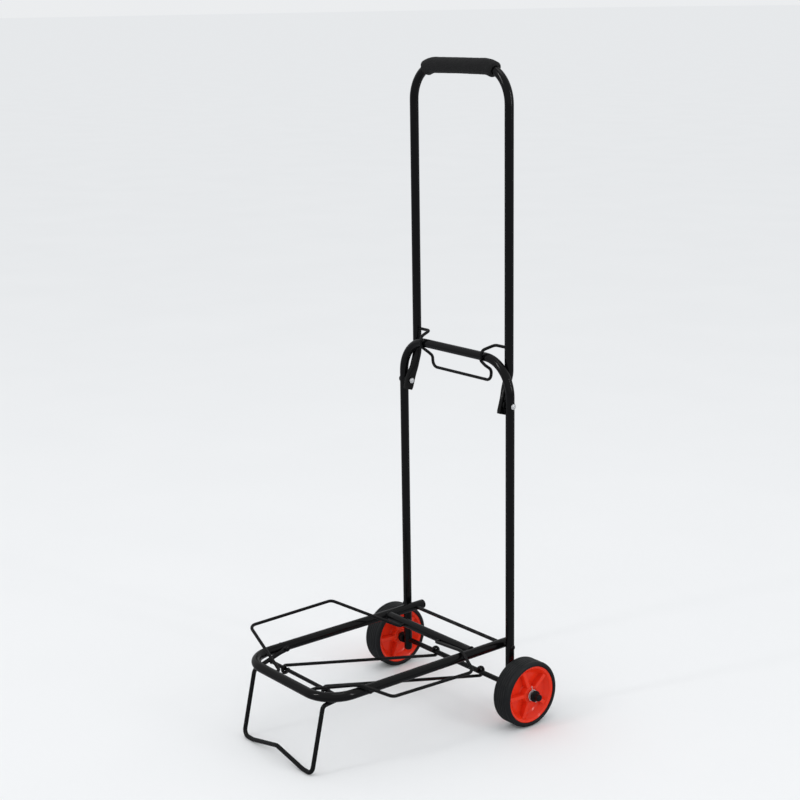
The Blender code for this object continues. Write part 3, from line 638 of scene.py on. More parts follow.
def spoke_tree() -> bpy.types.NodeTree:
    """Wheel spokes: copies of one spoke turned evenly about X through a hub."""
    tree = geometry_tree("spoke_ring", (
        TreeInput("Count", "NodeSocketInt", 5),
        TreeInput("Turn", "NodeSocketFloat", 0.0),
        TreeInput("Hub", "NodeSocketVector"),
        TreeInput("Finish", "NodeSocketMaterial"),
    ))
    given = tree.nodes["Group Input"]
    spots = node(tree, "GeometryNodePoints")
    index = node(tree, "GeometryNodeInputIndex")
    even = math_node(tree, "DIVIDE", index.outputs[0], given.outputs["Count"])
    turn = math_node(tree, "ADD", math_node(tree, "MULTIPLY", even, 2 * math.pi), given.outputs["Turn"])
    angles = node(tree, "ShaderNodeCombineXYZ")
    place = node(tree, "GeometryNodeInstanceOnPoints")
    rotation = node(tree, "FunctionNodeEulerToRotation")
    tree.links.new(given.outputs["Count"], spots.inputs["Count"])
    tree.links.new(given.outputs["Hub"], spots.inputs["Position"])
    tree.links.new(turn, angles.inputs["X"])
    tree.links.new(angles.outputs[0], rotation.inputs[0])
    tree.links.new(spots.outputs[0], place.inputs["Points"])
    tree.links.new(given.outputs["Mesh"], place.inputs["Instance"])
    tree.links.new(rotation.outputs[0], place.inputs["Rotation"])
    finish_tree(tree, place.outputs["Instances"])
    return tree


@dataclass
class Workshop:
    """Everything that the sub-assemblies share: finishes, geometry trees and the way a piece is handed over."""

    materials: dict[Slot, bpy.types.Material] = field(default_factory=dict)
    trees: dict[str, bpy.types.NodeTree] = field(default_factory=dict)
    made: int = 0

    def open(self) -> None:
        """Build the shared groups, finishes and geometry trees."""
        groups = {tree.name: tree for tree in (wear_group(), grain_group(), dust_group())}
        self.materials = {finish.slot: finish.material(groups) for finish in FINISHES}
        self.trees = {tree.name: tree for tree in (wire_tree(), bead_tree(), spoke_tree())}

    def grown(self, base: bpy.types.Mesh, tree_name: str, values: dict[str, object]) -> bmesh.types.BMesh:
        """Run a geometry tree on a mesh.

        Args:
            base: The mesh going in.
            tree_name: The tree.
            values: Its inputs by name.

        Returns:
            The result as a plain mesh.
        """
        tree = self.trees[tree_name]
        carrier = bpy.data.objects.new(tree_name + "_base", base)
        bpy.context.scene.collection.objects.link(carrier)
        modifier = carrier.modifiers.new(tree_name, "NODES")
        modifier.node_group = tree
        sockets = {s.name: s.identifier for s in tree.interface.items_tree if s.in_out == "INPUT"}
        for name, value in values.items():
            modifier[sockets[name]] = value
        graph = bpy.context.evaluated_depsgraph_get()
        result = bpy.data.meshes.new_from_object(carrier.evaluated_get(graph))
        bm = bmesh.new()
        bm.from_mesh(result)
        bpy.data.meshes.remove(result)
        bpy.data.objects.remove(carrier, do_unlink=True)
        return bm

    def wire(self, points: Sequence[Vector], radius: float, slot: Slot, sides: int = 24,
             nose: float = 0.6) -> bmesh.types.BMesh:
        """Bent wire along points, both ends rounded over a share of its radius."""
        line, sections = round_ends(list(points), radius, radius * nose)
        mesh = bpy.data.meshes.new("wire_line")
        mesh.from_pydata([p[:] for p in line], [(i, i + 1) for i in range(len(line) - 1)], [])
        swell = mesh.attributes.new("swell", "FLOAT", "POINT")
        swell.data.foreach_set("value", [s.side / radius for s in sections])
        return self.grown(mesh, "bent_wire", {"Radius": radius, "Sides": sides, "Finish": self.materials[slot]})

    def bead(self, points: Sequence[Vector], lump: float, seed: int) -> bmesh.types.BMesh:
        """A weld bead on points."""
        mesh = bpy.data.meshes.new("bead_line")
        mesh.from_pydata([p[:] for p in points], [], [])
        return self.grown(mesh, "weld_bead", {"Lump": lump, "Seed": seed, "Finish": self.materials[Slot.PAINT]})

    def hand_over(self, name: str, bm: bmesh.types.BMesh, slot: Slot, body: str, nodes: Sequence[str],
                  sharp: float = 40.0) -> bpy.types.Object:
        """Turn a mesh into a finished piece of the cart.

        Args:
            name: The piece's name.
            bm: Its mesh, which is used up.
            slot: Its finish.
            body: The frame body that it rides on.
            nodes: The frame nodes that it stands for.
            sharp: Edges that turn more than this many degrees stay crisp.

        Returns:
            The piece.
        """
        bmesh.ops.recalc_face_normals(bm, faces=bm.faces)
        mesh = bpy.data.meshes.new(name)
        bm.to_mesh(mesh)
        bm.free()
        mesh.materials.clear()
        mesh.materials.append(self.materials[slot])
        mesh.polygons.foreach_set("material_index", [0] * len(mesh.polygons))
        mesh.shade_smooth()
        mesh.set_sharp_from_angle(angle=math.radians(sharp))
        piece = bpy.data.objects.new(name, mesh)
        bpy.context.scene.collection.objects.link(piece)
        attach(piece, body)
        if nodes:
            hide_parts(*nodes)
        self.made += 1
        log.info("%s: %d faces, rides on %s", name, len(mesh.polygons), body)
        return piece


# ---------------------------------------------------------------- sub-assemblies

@dataclass
class Mast:
    """The lower mast with its axle, pivot rod and small hardware."""

    shop: Workshop
    tube: float = 0.0065
    bend: float = 0.0515
    axle: float = 0.004
    rod: float = 0.0028
    rivet_shank: float = 0.0022
    inner_head: float = 0.0022
    ear_offset: float = 0.0028
    ear_width: float = 0.0016

    def places(self) -> None:
        """Read the mast's places from the frame."""
        low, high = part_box("lower_mast")
        self.half = high.x - self.tube * FACET
        self.top = high.z - self.tube * FACET
        self.foot = low.z
        self.y = (low.y + high.y) / 2
        self.axle_z = joint_point("wheel_left_spin").z
        self.deck_z = joint_point("platform_fold").z
        self.hinge_z = joint_point("handle_fold").z
        self.outside = self.half + self.tube

    def build(self) -> None:
        """Build and dress every piece of the mast."""
        self.places()
        self._tube()
        self._axle()
        self._rod()
        for side in Side:
            self._wheel_hardware(side)
            self._hinge_hardware(side)

    def _tube(self) -> None:
        """The inverted U with its ends closed by pressing."""
        corners = [(-self.half, self.y, self.foot), (-self.half, self.y, self.top),
                   (self.half, self.y, self.top), (self.half, self.y, self.foot)]
        path = filled(rounded_path(corners, [self.bend] * 2), STRAIGHT_RUN)
        path, sections = round_ends(path, self.tube, 0.0034)
        for point, section in zip(path, sections):
            rise = point.z - self.foot
            pinch = max(0.0, 1 - rise / 0.010)
            section.side *= 1 - 0.10 * pinch
        bars = [sweep(path, sections, TUBE_SIDES, (0, 1, 0))]
        for side in Side:
            for height, reach in ((self.axle_z, 0.0058), (self.deck_z, 0.0044), (self.hinge_z, 0.0052)):
                outline = [(-0.0002, 0.0), (-0.0002, reach), (0.00025, reach - 0.0003), (0.00025, 0.0)]
                collar = softened(outline, 0.0002)
                face = Vector((side.value * (self.outside - 0.0001), self.y, height))
                bars.append(turned(collar, face, (side.value, 0, 0), 40))
        self.shop.hand_over("mast_tube", joined(bars), Slot.PAINT, "lower_mast", ["lower_mast"])

    def _axle(self) -> None:
        """The axle with a pinched pair of ears outboard of each link eyelet."""
        low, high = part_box("axle")
        spots = []
        for link in ("link_left", "link_right"):
            link_low, link_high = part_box(link)
            rear_x = link_low.x if link == "link_left" else link_high.x
            outward = math.copysign(1, rear_x)
            spots.append(rear_x + outward * self.ear_offset)
        steps = (-0.004, -0.0022, -0.0008, 0.0008, 0.0022, 0.004)
        xs = sorted({low.x, high.x, *(spot + step for spot in spots for step in steps)})
        path = [Vector((x, self.y, self.axle_z)) for x in xs]
        path, sections = round_ends(path, self.axle, 0.0007)
        for point, section in zip(path, sections):
            near = min(abs(point.x - s) for s in spots)
            pinch = math.exp(-(near / self.ear_width) ** 2)
            section.side = section.side * (1 - 0.35 * pinch)
            section.up = section.up * (1 + 0.45 * pinch)
        self.shop.hand_over("axle_bar", sweep(path, sections, 32, (0, 0, 1)), Slot.WIRE, "lower_mast", ["axle"])

    def _rod(self) -> None:
        """The platform's pivot rod, peened over outside the mast."""
        low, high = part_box("pivot_rod")
        head, thick = (high.z - low.z) / 2, high.x - self.outside - GAP
        path = [Vector((x, self.y, self.deck_z)) for x in (-self.outside - GAP, self.outside + GAP)]
        bars = [sweep(path, [Section(self.rod, self.rod)] * 2, 28, (0, 0, 1))]
        for side in Side:
            base = (side.value * (self.outside + GAP / 2), self.y, self.deck_z)
            bars.append(dome(base, (side.value, 0, 0), head, thick + GAP / 2))
        self.shop.hand_over("pivot_bar", joined(bars), Slot.PAINT, "lower_mast", ["pivot_rod"])

    def _wheel_hardware(self, side: Side) -> None:
        """The spacer, washer, split pin and cap that keep one wheel on the axle."""
        low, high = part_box("axle_spacer_" + side.label)
        reach, thick = (high.z - low.z) / 2, high.x - low.x
        start = low.x if side is Side.RIGHT else high.x
        outline = [(0, AXLE_BORE), (0, reach * 0.9), (thick * 0.12, reach), (thick * 0.40, reach),
                   (thick * 0.46, reach * 0.93), (thick * 0.54, reach * 0.93), (thick * 0.60, reach),
                   (thick * 0.88, reach), (thick, reach * 0.9), (thick, AXLE_BORE)]
        bm = turned(softened(outline, 0.0004), (start, self.y, self.axle_z), (side.value, 0, 0), 56)
        self.shop.hand_over("wheel_spacer_" + side.label, bm, Slot.PLASTIC, "lower_mast",
                            ["axle_spacer_" + side.label])

        low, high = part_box("hub_washer_" + side.label)
        reach, thick = (high.z - low.z) / 2, high.x - low.x
        start = low.x if side is Side.RIGHT else high.x
        outline = softened([(0, AXLE_BORE), (0, reach), (thick, reach), (thick, AXLE_BORE)], 0.0003)
        bm = turned(outline, (start, self.y, self.axle_z), (side.value, 0, 0), 64)
        self.shop.hand_over("zinc_washer_" + side.label, bm, Slot.ZINC, "lower_mast",
                            ["hub_washer_" + side.label])
        self._split_pin(side)
        self._cap(side)

    def _split_pin(self, side: Side) -> None:
        """The split pin: one wire folded on itself with an eye, its two legs a little spread."""
        low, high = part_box("split_pin_" + side.label)
        x = (low.x + high.x) / 2
        along = Vector((0, -0.42, 0.91)).normalized()
        across = Vector((0, 0.91, 0.42)).normalized()
        hub = Vector((x, self.y, self.axle_z))
        wire, lean = 0.00052, 0.00056
        eye_centre = hub - along * 0.0098
        start = eye_centre + along * 0.0020 + across * lean
        eye = arc(eye_centre, start, (1, 0, 0), math.radians(-330), math.radians(15))
        if (eye[1] - eye[0]).dot(along) > 0:
            eye = arc(eye_centre, start, (1, 0, 0), math.radians(330), math.radians(15))
        out = [hub + along * 0.0168 + across * 0.0030, hub + along * 0.0070 + across * 0.0008, hub + across * lean]
        back = [hub - across * lean, hub + along * 0.0056 - across * 0.0006, hub + along * 0.0104 - across * 0.0003]
        points = [*out, *eye[:-1], hub - along * 0.0072 - across * lean, *back]
        bm = self.shop.wire(points, wire, Slot.ZINC, 14)
        self.shop.hand_over("split_wire_" + side.label, bm, Slot.ZINC, "lower_mast", ["split_pin_" + side.label])

    def _cap(self, side: Side) -> None:
        """The stepped black cap on the axle's end."""
        low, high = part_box("axle_cap_" + side.label)
        reach, long = (high.z - low.z) / 2, high.x - low.x
        start = low.x if side is Side.RIGHT else high.x
        nose = reach * 0.60
        outline = [(0, 0.0), (0, reach * 0.93), (long * 0.05, reach), (long * 0.20, reach), (long * 0.28, reach * 0.93),
                   (long * 0.31, nose * 1.12), (long * 0.34, nose), (long * 0.88, nose), (long * 0.97, nose * 0.86),
                   (long, nose * 0.6), (long, 0.0)]
        bm = turned(softened(outline, 0.0005), (start, self.y, self.axle_z), (side.value, 0, 0), 56)
        self.shop.hand_over("hub_cap_" + side.label, bm, Slot.PLASTIC, "lower_mast", ["axle_cap_" + side.label])

    def _hinge_hardware(self, side: Side) -> None:
        """The handle's hinge rivet and the washer between leg and upright."""
        low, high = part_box("hinge_rivet_" + side.label)
        inner, outer = (low.x, high.x) if side is Side.RIGHT else (high.x, low.x)
        reach = (high.z - low.z) / 2
        head = abs(outer) - self.outside - GAP
        outer_base = Vector((outer - side.value * head, self.y, self.hinge_z))
        inner_base = Vector((inner + side.value * self.inner_head, self.y, self.hinge_z))
        bars = [dome(outer_base, (side.value, 0, 0), reach, head),
                dome(inner_base, (-side.value, 0, 0), reach, self.inner_head)]
        shank = [inner_base - Vector((side.value * 0.0003, 0, 0)), outer_base + Vector((side.value * 0.0003, 0, 0))]
        bars.append(sweep(shank, [Section(self.rivet_shank, self.rivet_shank)] * 2, 24, (0, 0, 1)))
        self.shop.hand_over("hinge_pin_" + side.label, joined(bars), Slot.ZINC, "lower_mast",
                            ["hinge_rivet_" + side.label])

        name = "hinge_washer_" + side.label
        low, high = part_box(name)
        reach, thick = (high.z - low.z) / 2, high.x - low.x
        outline = softened([(0, 0.0025), (0, reach), (thick, reach), (thick, 0.0025)], 0.0003)
        bm = turned(outline, (low.x, self.y, self.hinge_z), (1, 0, 0), 48)
        self.shop.hand_over("leg_washer_" + side.label, bm, Slot.PLASTIC, "lower_mast", [name])


@dataclass
class Handle:
    """The folding handle: a bent tube with pressed tails, and a foam grip."""

    shop: Workshop
    tube: float = 0.0065
    bend: float = 0.051
    lean: float = math.radians(17)
    tail: float = 0.0142
    pressed_thick: float = 0.0043
    pressed_wide: float = 0.0083
    pressed_inset: float = 0.0028
    pressed_until: float = 0.019
    pressed_ease: float = 0.020
    kink_bend: float = 0.03
    grip: float = 0.0115
    grip_inset: float = 0.0062

    def places(self) -> None:
        """Read the handle's places from the frame."""
        low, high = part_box("upper_handle")
        self.pressed_x = high.x - self.pressed_thick
        self.top = high.z - self.tube * FACET
        self.back = high.y - self.tube * FACET
        self.grip_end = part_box("foam_grip")[1].x - self.grip_inset
        self.hinge = joint_point("handle_fold")
        self.half = self.pressed_x - self.pressed_inset

    def build(self) -> None:
        """Build and dress the handle."""
        self.places()
        self._tube()
        self._grip()

    def _tube(self) -> None:
        """The bent tube. Its tails are pressed flat, with a shallow groove, where the rivets go through."""
        kink_z = self.hinge.z + (self.back - self.hinge.y) / math.tan(self.lean)
        tail_y = self.hinge.y - math.sin(self.lean) * self.tail
        tail_z = self.hinge.z - math.cos(self.lean) * self.tail
        half = self.half
        corners = [(-half, tail_y, tail_z), (-half, self.back, kink_z), (-half, self.back, self.top),
                   (half, self.back, self.top), (half, self.back, kink_z), (half, tail_y, tail_z)]
        path = filled(rounded_path(corners, [self.kink_bend, self.bend, self.bend, self.kink_bend]), 0.0016 * 3)
        distance = lengths_from_start(path)
        total = distance[-1]
        sections = []
        shift = self.pressed_x - self.half
        for along in distance:
            end = min(along, total - along)
            ease = min(1.0, max(0.0, (end - self.pressed_until) / self.pressed_ease))
            round_share = ease * ease * (3 - 2 * ease)
            flat = 1 - round_share
            edge = 0.0007 * max(0.0, 1 - end / 0.0012)
            sections.append(Section(
                self.tube + (self.pressed_thick - self.tube) * flat - edge,
                self.tube + (self.pressed_wide - self.tube) * flat - edge,
                1 - 0.30 * flat, shift * flat, 0.30 * flat,
            ))
        bm = sweep(path, sections, 48, (-1, 0, 0))
        self.shop.hand_over("handle_tube", bm, Slot.PAINT, "handle", ["upper_handle"])

    def _grip(self) -> None:
        """The foam grip: a cut length of foam tube that droops round the handle's bends and puckers inside them."""
        reach = self.grip
        arc_x = self.half - self.bend
        arc_z = self.top - self.bend
        droop = math.asin(min(1.0, (self.grip_end - arc_x) / self.bend))
        right = arc((arc_x, self.back, arc_z), (arc_x, self.back, self.top), (0, 1, 0), droop, math.radians(1.5))
        left = [Vector((-p.x, p.y, p.z)) for p in reversed(right)]
        path = filled(left + right, 0.0010)
        distance = lengths_from_start(path)
        total = distance[-1]
        bm = bmesh.new()
        sides = 72
        inner = self.tube + 0.00015
        outer_rings, inner_rings = [], []
        for i, (point, along) in enumerate(zip(path, distance)):
            tangent = (path[min(i + 1, len(path) - 1)] - path[max(i - 1, 0)]).normalized()
            across = Vector((0, 1, 0))
            up = across.cross(tangent)
            end = min(along, total - along)
            lip = 0.0009 * max(0.0, 1 - end / 0.0014) ** 2
            bent = max(0.0, abs(point.x) - arc_x) / self.bend
            outer, bore = [], []
            for k in range(sides):
                angle = 2 * math.pi * k / sides
                c, s = math.cos(angle), math.sin(angle)
                direction = across * c + up * s
                below = max(0.0, -direction.z)
                pucker = 0.00045 * bent * below * math.sin(along / 0.0021 * math.pi)
                spot = point + direction * reach
                skin = noise.noise(spot * 900) * 0.00010 + noise.noise(spot * 120) * 0.00022
                seat = -0.0004 * math.exp(-(along / total - 0.5) ** 2 / 0.05) * below
                outer.append(bm.verts.new(point + direction * (reach - lip + pucker + skin + seat)))
                bore.append(bm.verts.new(point + direction * inner))
            outer_rings.append(outer)
            inner_rings.append(bore)
        for rings in (outer_rings, inner_rings):
            for low, high in zip(rings, rings[1:]):
                for k in range(sides):
                    n = (k + 1) % sides
                    bm.faces.new((low[k], low[n], high[n], high[k]))
        for a, b in ((outer_rings[0], inner_rings[0]), (outer_rings[-1], inner_rings[-1])):
            for k in range(sides):
                n = (k + 1) % sides
                bm.faces.new((a[k], a[n], b[n], b[k]))
        grip = self.shop.hand_over("foam_sleeve", bm, Slot.FOAM, "handle", ["foam_grip"], 60.0)


@dataclass
class Latch:
    """The wire latch that hooks round the front of the mast's cross bar."""

    shop: Workshop
    mast: Mast
    wire: float = 0.0023
    hug: float = 0.0089

    def build(self) -> None:
        """Build and dress the latch."""
        low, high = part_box("latch_wire")
        pivot = joint_point("latch_swing")
        bar_y, bar_z = self.mast.y, self.mast.top
        reach = high.x
        bottom = low.z + self.wire * 0.93

        def on_side(side: Side) -> list[tuple[float, float, float]]:
            """The wire's corners on one side, from its pivot to its lower bar."""
            s = side.value
            return [
                (s * reach, pivot.y, pivot.z),
                (s * 0.0735, pivot.y, pivot.z),
                (s * 0.0680, bar_y - self.hug, bar_z + 0.0105),
                (s * 0.0668, bar_y - self.hug, bar_z - 0.0042),
                (s * 0.0640, bar_y + 0.0026, bar_z - 0.0136),
                (s * 0.0660, bar_y + 0.0126, bar_z - 0.0210),
                (s * 0.0650, bar_y + 0.0126, bottom),
            ]

        radii = [0.006, 0.009, self.hug, 0.010, 0.009, 0.010]
        corners = on_side(Side.LEFT) + on_side(Side.RIGHT)[::-1]
        points = rounded_path(corners, radii + radii[::-1], math.radians(6))
        bm = self.shop.wire(points, self.wire, Slot.WIRE)
        self.shop.hand_over("latch_hook", bm, Slot.WIRE, "latch", ["latch_wire"])


@dataclass
class Platform:
    """The platform's U frame, cross tube, end plugs and leg rivets."""

    shop: Workshop
    tube: float = 0.007
    bend: float = 0.045
    rivet_shank: float = 0.0025

    def places(self) -> None:
        """Read the platform's places from the frame."""
        low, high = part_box("platform_frame")
        self.half = high.x - self.tube * FACET
        self.front = low.y + self.tube * FACET
        self.rear = high.y
        self.z = (low.z + high.z) / 2
        cross_low, cross_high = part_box("cross_tube")
        self.cross_y = (cross_low.y + cross_high.y) / 2

    def build(self) -> None:
        """Build and dress the platform."""
        self.places()
        self._frame()
        self._cross_tube()
        for side in Side:
            self._plug(side)
            self._rivet(side)

    def _frame(self) -> None:
        """The U frame with its turned-in tube ends, and the weld beads of the cross tube."""
        corners = [(-self.half, self.rear, self.z), (-self.half, self.front, self.z),
                   (self.half, self.front, self.z), (self.half, self.rear, self.z)]
        path = filled(rounded_path(corners, [self.bend] * 2), STRAIGHT_RUN)
        path, sections = round_ends(path, self.tube, 0.0008)
        bars = [sweep(path, sections, TUBE_SIDES, (0, 0, 1))]
        for side in Side:
            face_x = side.value * (self.half - self.tube * 0.93)
            reach = self.tube * 0.98
            ring = [Vector((face_x - side.value * 0.0004 - side.value * 0.0012 * abs(math.cos(a)) ** 2,
                            self.cross_y + reach * math.cos(a), self.z + reach * math.sin(a)))
                    for a in np.linspace(0, 2 * math.pi, 34, endpoint=False)]
            bars.append(self.shop.bead(ring, 0.00115, 11 + side.value))
        self.shop.hand_over("deck_frame", joined(bars), Slot.PAINT, "platform", ["platform_frame"])

    def _cross_tube(self) -> None:
        """The rear cross tube between the side tubes."""
        low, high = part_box("cross_tube")
        radius = self.tube - 0.0001
        path = filled([Vector((low.x, self.cross_y, self.z)), Vector((high.x, self.cross_y, self.z))], 0.02)
        sections = [Section(radius, radius)] * len(path)
        bm = sweep(path, sections, TUBE_SIDES, (0, 0, 1))
        self.shop.hand_over("deck_cross_tube", bm, Slot.PAINT, "platform", ["cross_tube"])

    def _plug(self, side: Side) -> None:
        """The push-in plug in a side tube's rear end."""
        name = "tube_plug_" + side.label
        low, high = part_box(name)
        thick = high.y - low.y
        reach = self.tube
        outline = [(0, 0), (0, reach * 0.90), (thick * 0.2, reach), (thick * 0.55, reach), (thick * 0.9, reach * 0.8),
                   (thick, reach * 0.5), (thick, 0)]
        bm = turned(softened(outline, 0.0005), (side.value * self.half, low.y, self.z), (0, 1, 0), 48)
        self.shop.hand_over("end_plug_" + side.label, bm, Slot.PLASTIC, "platform", [name])

    def _rivet(self, side: Side) -> None:
        """The rivet on which the front leg turns, seen outside the side tube."""
        name = "leg_rivet_" + side.label
        low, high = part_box(name)
        reach = (high.z - low.z) / 2
        outer = high.x if side is Side.RIGHT else low.x
        y = (low.y + high.y) / 2
        head = abs(outer) - self.half - self.tube - GAP
        base = Vector((outer - side.value * head, y, self.z))
        inner = Vector((low.x if side is Side.RIGHT else high.x, y, self.z))
        ends = [inner, base + Vector((side.value * 0.0004, 0, 0))]
        shank = sweep(ends, [Section(self.rivet_shank, self.rivet_shank)] * 2, 24, (0, 0, 1))
        bm = joined([dome(base, (side.value, 0, 0), reach, head), shank])
        self.shop.hand_over("leg_pivot_" + side.label, bm, Slot.PAINT, "platform", [name])


@dataclass
class FrontLeg:
    """The front leg: bent wire with pressed arm ends, its cross rod and pin heads."""

    shop: Workshop
    wire: float = 0.0032
    arm_x: float = 0.0914
    foot_x: float = 0.084
    shift: float = 0.0014
    flat_half: float = 0.0018
    flat_wide: float = 0.0046
    flat_end: float = 0.062
    foot_rise: float = 0.016
    arm_reach: float = 0.064
    arm_drop: float = 0.0125
    cross: float = 0.0028
    ears: tuple[float, float] = (-0.0450, 0.0528)

    def build(self) -> None:
        """Build and dress the leg."""
        low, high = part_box("front_leg")
        pin_low, pin_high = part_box("leg_pin_left")
        pivot_y, pivot_z = (pin_low.y + pin_high.y) / 2, (pin_low.z + pin_high.z) / 2
        foot_y, foot_z = low.y + self.wire * LEG_FACET, low.z + self.wire * LEG_FACET
        bend_y, bend_z = pivot_y - self.arm_reach, pivot_z - self.arm_drop
        slope = (pivot_z - bend_z) / (pivot_y - bend_y)
        tail, flat = 0.0045, 0.013

        def on_side(side: Side) -> list[tuple[float, float, float]]:
            """The wire's corners on one side, from its arm's end down to its foot."""
            s = side.value
            return [
                (s * self.arm_x, pivot_y + tail, pivot_z + tail * slope),
                (s * self.arm_x, pivot_y - flat, pivot_z - flat * slope),
                (s * self.foot_x, bend_y, bend_z),
                (s * self.foot_x, foot_y, foot_z),
            ]

        rise = [(-self.flat_end, foot_y, foot_z), (0, foot_y, self.foot_rise), (self.flat_end, foot_y, foot_z)]
        corners = on_side(Side.LEFT) + rise + on_side(Side.RIGHT)[::-1]
        radii = [0.02, 0.008, 0.010, 0.03, 0.014, 0.03, 0.010, 0.008, 0.02]
        path = filled(rounded_path(corners, radii), 0.0015)
        distance = lengths_from_start(path)
        total = distance[-1]
        sections = []
        for along in distance:
            end = min(along, total - along)
            ease = min(1.0, max(0.0, (end - (tail + flat - 0.008)) / 0.006))
            flatness = 1 - ease * ease * (3 - 2 * ease)
            tip = math.sqrt(max(0.05, 1 - max(0.0, 1 - end / 0.004) ** 2))
            sections.append(Section(
                self.wire + (self.flat_half - self.wire) * flatness,
                (self.wire + (self.flat_wide - self.wire) * flatness) * tip,
                1 - 0.25 * flatness, -self.shift * flatness,
            ))
        bm = sweep(path, sections, 28, (1, 0, 0))
        self.shop.hand_over("leg_wire", bm, Slot.WIRE, "leg", ["front_leg"])
        self._cross_rod()
        for side in Side:
            self._pin(side)

    def _cross_rod(self) -> None:
        """The rod welded across the arms, with pinched ears beside the links and a bead at each end."""
        low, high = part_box("cross_rod")
        y, z = (low.y + high.y) / 2, (low.z + high.z) / 2
        xs = sorted({low.x, high.x, *(e + d for e in self.ears for d in (-0.003, -0.0015, 0, 0.0015, 0.003))})
        path, sections = round_ends([Vector((x, y, z)) for x in xs], self.cross, 0.0004)
        for point, section in zip(path, sections):
            pinch = math.exp(-(min(abs(point.x - e) for e in self.ears) / 0.0014) ** 2)
            section.side *= 1 - 0.3 * pinch
            section.up *= 1 + 0.25 * pinch
        bars = [sweep(path, sections, 24, (0, 0, 1))]
        for side in Side:
            end_x = (high.x if side is Side.RIGHT else low.x) - side.value * 0.0002
            ring = [Vector((end_x, y + 0.0030 * math.cos(a), z + 0.0030 * math.sin(a)))
                    for a in np.linspace(0, 2 * math.pi, 14, endpoint=False)]
            bars.append(self.shop.bead(ring, 0.0009, 23 + side.value))
        self.shop.hand_over("leg_cross_rod", joined(bars), Slot.WIRE, "leg", ["cross_rod"])

    def _pin(self, side: Side) -> None:
        """The rivet head on the inside of an arm."""
        name = "leg_pin_" + side.label
        low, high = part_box(name)
        reach, thick = (high.z - low.z) / 2, high.x - low.x
        base = (high.x if side is Side.RIGHT else low.x, (low.y + high.y) / 2, (low.z + high.z) / 2)
        head = dome(base, (-side.value, 0, 0), reach, thick)
        self.shop.hand_over("arm_pin_" + side.label, head, Slot.WIRE, "leg", [name])


@dataclass
class Link:
    """A wire link between the axle and the leg's cross rod, with a rolled eyelet at each end."""

    shop: Workshop
    side: Side
    wire: float = 0.0024
    rear_ring: float = 0.0067
    front_ring: float = 0.0055
    eyelet_turn: float = math.radians(272)

    def build(self) -> None:
        """Build and dress the link."""
        name = "link_" + self.side.label
        low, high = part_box(name)
        axle = joint_point("links_swing")
        rod = joint_point("leg_fold")
        s = self.side.value
        outer, inner = (high.x, low.x) if s > 0 else (low.x, high.x)
        rear = Vector((outer - s * self.wire, axle.y, axle.z))
        front = Vector((inner + s * self.wire, rod.y, rod.z))
        run = Vector((0, front.y - rear.y, front.z - rear.z))
        tilt = math.asin((self.rear_ring + self.front_ring) / run.length)
        heading = Matrix.Rotation(-tilt, 3, (1, 0, 0)) @ run.normalized()
        down = Vector((0, heading.z, -heading.y))
        if down.z > 0:
            down = -down
        rear_arc = arc(rear, rear + down * self.rear_ring, (1, 0, 0), self.eyelet_turn, math.radians(8))
        front_arc = arc(front, front - down * self.front_ring, (1, 0, 0), self.eyelet_turn, math.radians(8))
        bm = self.shop.wire(filled(rear_arc[::-1] + front_arc, 0.02), self.wire, Slot.WIRE)
        self.shop.hand_over("link_wire_" + self.side.label, bm, Slot.WIRE, "links", [name])


@dataclass
class Wing:
    """A side wing of bent wire. The left one is turned half a turn, has straight arms and stands raised."""

    shop: Workshop
    platform: Platform
    side: Side
    wire: float = 0.0024
    front_x: float = 0.0525
    rear_x: float = 0.032
    front_out: tuple[float, float, float] = (0.141, -0.2394, 0.1085)
    rear_out: tuple[float, float, float] = (0.1383, -0.0879, 0.1023)
    over_half: float = 0.0045
    let_in: float = 0.0046
    raised: float = math.radians(23.5)

    def build(self) -> None:
        """Build and dress the wing."""
        z = self.platform.z
        tube = self.platform.tube
        front_pin = Vector((self.front_x, self.platform.front + tube, z))
        rear_pin = Vector((self.rear_x, self.platform.cross_y - tube, z))
        line = (rear_pin - front_pin).normalized()
        over_z = z + tube + self.wire + 0.0006
        axle_y = joint_point("platform_fold").y
        front_corner = Vector(self.front_out) + Vector((0, axle_y, 0))
        rear_corner = Vector(self.rear_out) + Vector((0, axle_y, 0))
        front_root = front_pin + line * 0.0085
        rear_root = rear_pin - line * 0.0075

        def over(root: Vector, corner: Vector, x: float) -> Vector:
            """The point where an arm lies on top of the side tube."""
            share = (x - root.x) / (corner.x - root.x)
            return Vector((x, root.y + (corner.y - root.y) * share, over_z))

        near, far = self.platform.half - self.over_half, self.platform.half + self.over_half
        front_arm = [over(front_root, front_corner, x) for x in (near, far)]
        rear_arm = [over(rear_root, rear_corner, x) for x in (far, near)]
        radii = [0.006, 0.03, 0.012, 0.012, 0.012, 0.012, 0.03, 0.006]
        if self.side is Side.LEFT:
            front_arm, rear_arm, radii = [], [], [0.006, 0.012, 0.012, 0.006]
        corners = [front_pin - line * self.let_in, front_root, *front_arm, front_corner]
        corners += [rear_corner, *rear_arm, rear_root, rear_pin + line * self.let_in]
        points = rounded_path(corners, radii, math.radians(5))
        if self.side is Side.LEFT:
            centre = Vector((0, (front_pin.y + rear_pin.y) / 2, 0))
            half_turn = Matrix.Rotation(math.pi, 3, (0, 0, 1))
            points = [half_turn @ (p - centre) + centre for p in points]
            lift = Matrix.Rotation(self.raised, 3, (points[0] - points[-1]).normalized())
            points = [lift @ (p - points[0]) + points[0] for p in points]
        bm = self.shop.wire(filled(points, 0.012), self.wire, Slot.WIRE)
        name = "wing_" + self.side.label
        self.shop.hand_over("side_" + name, bm, Slot.WIRE, name, [name])


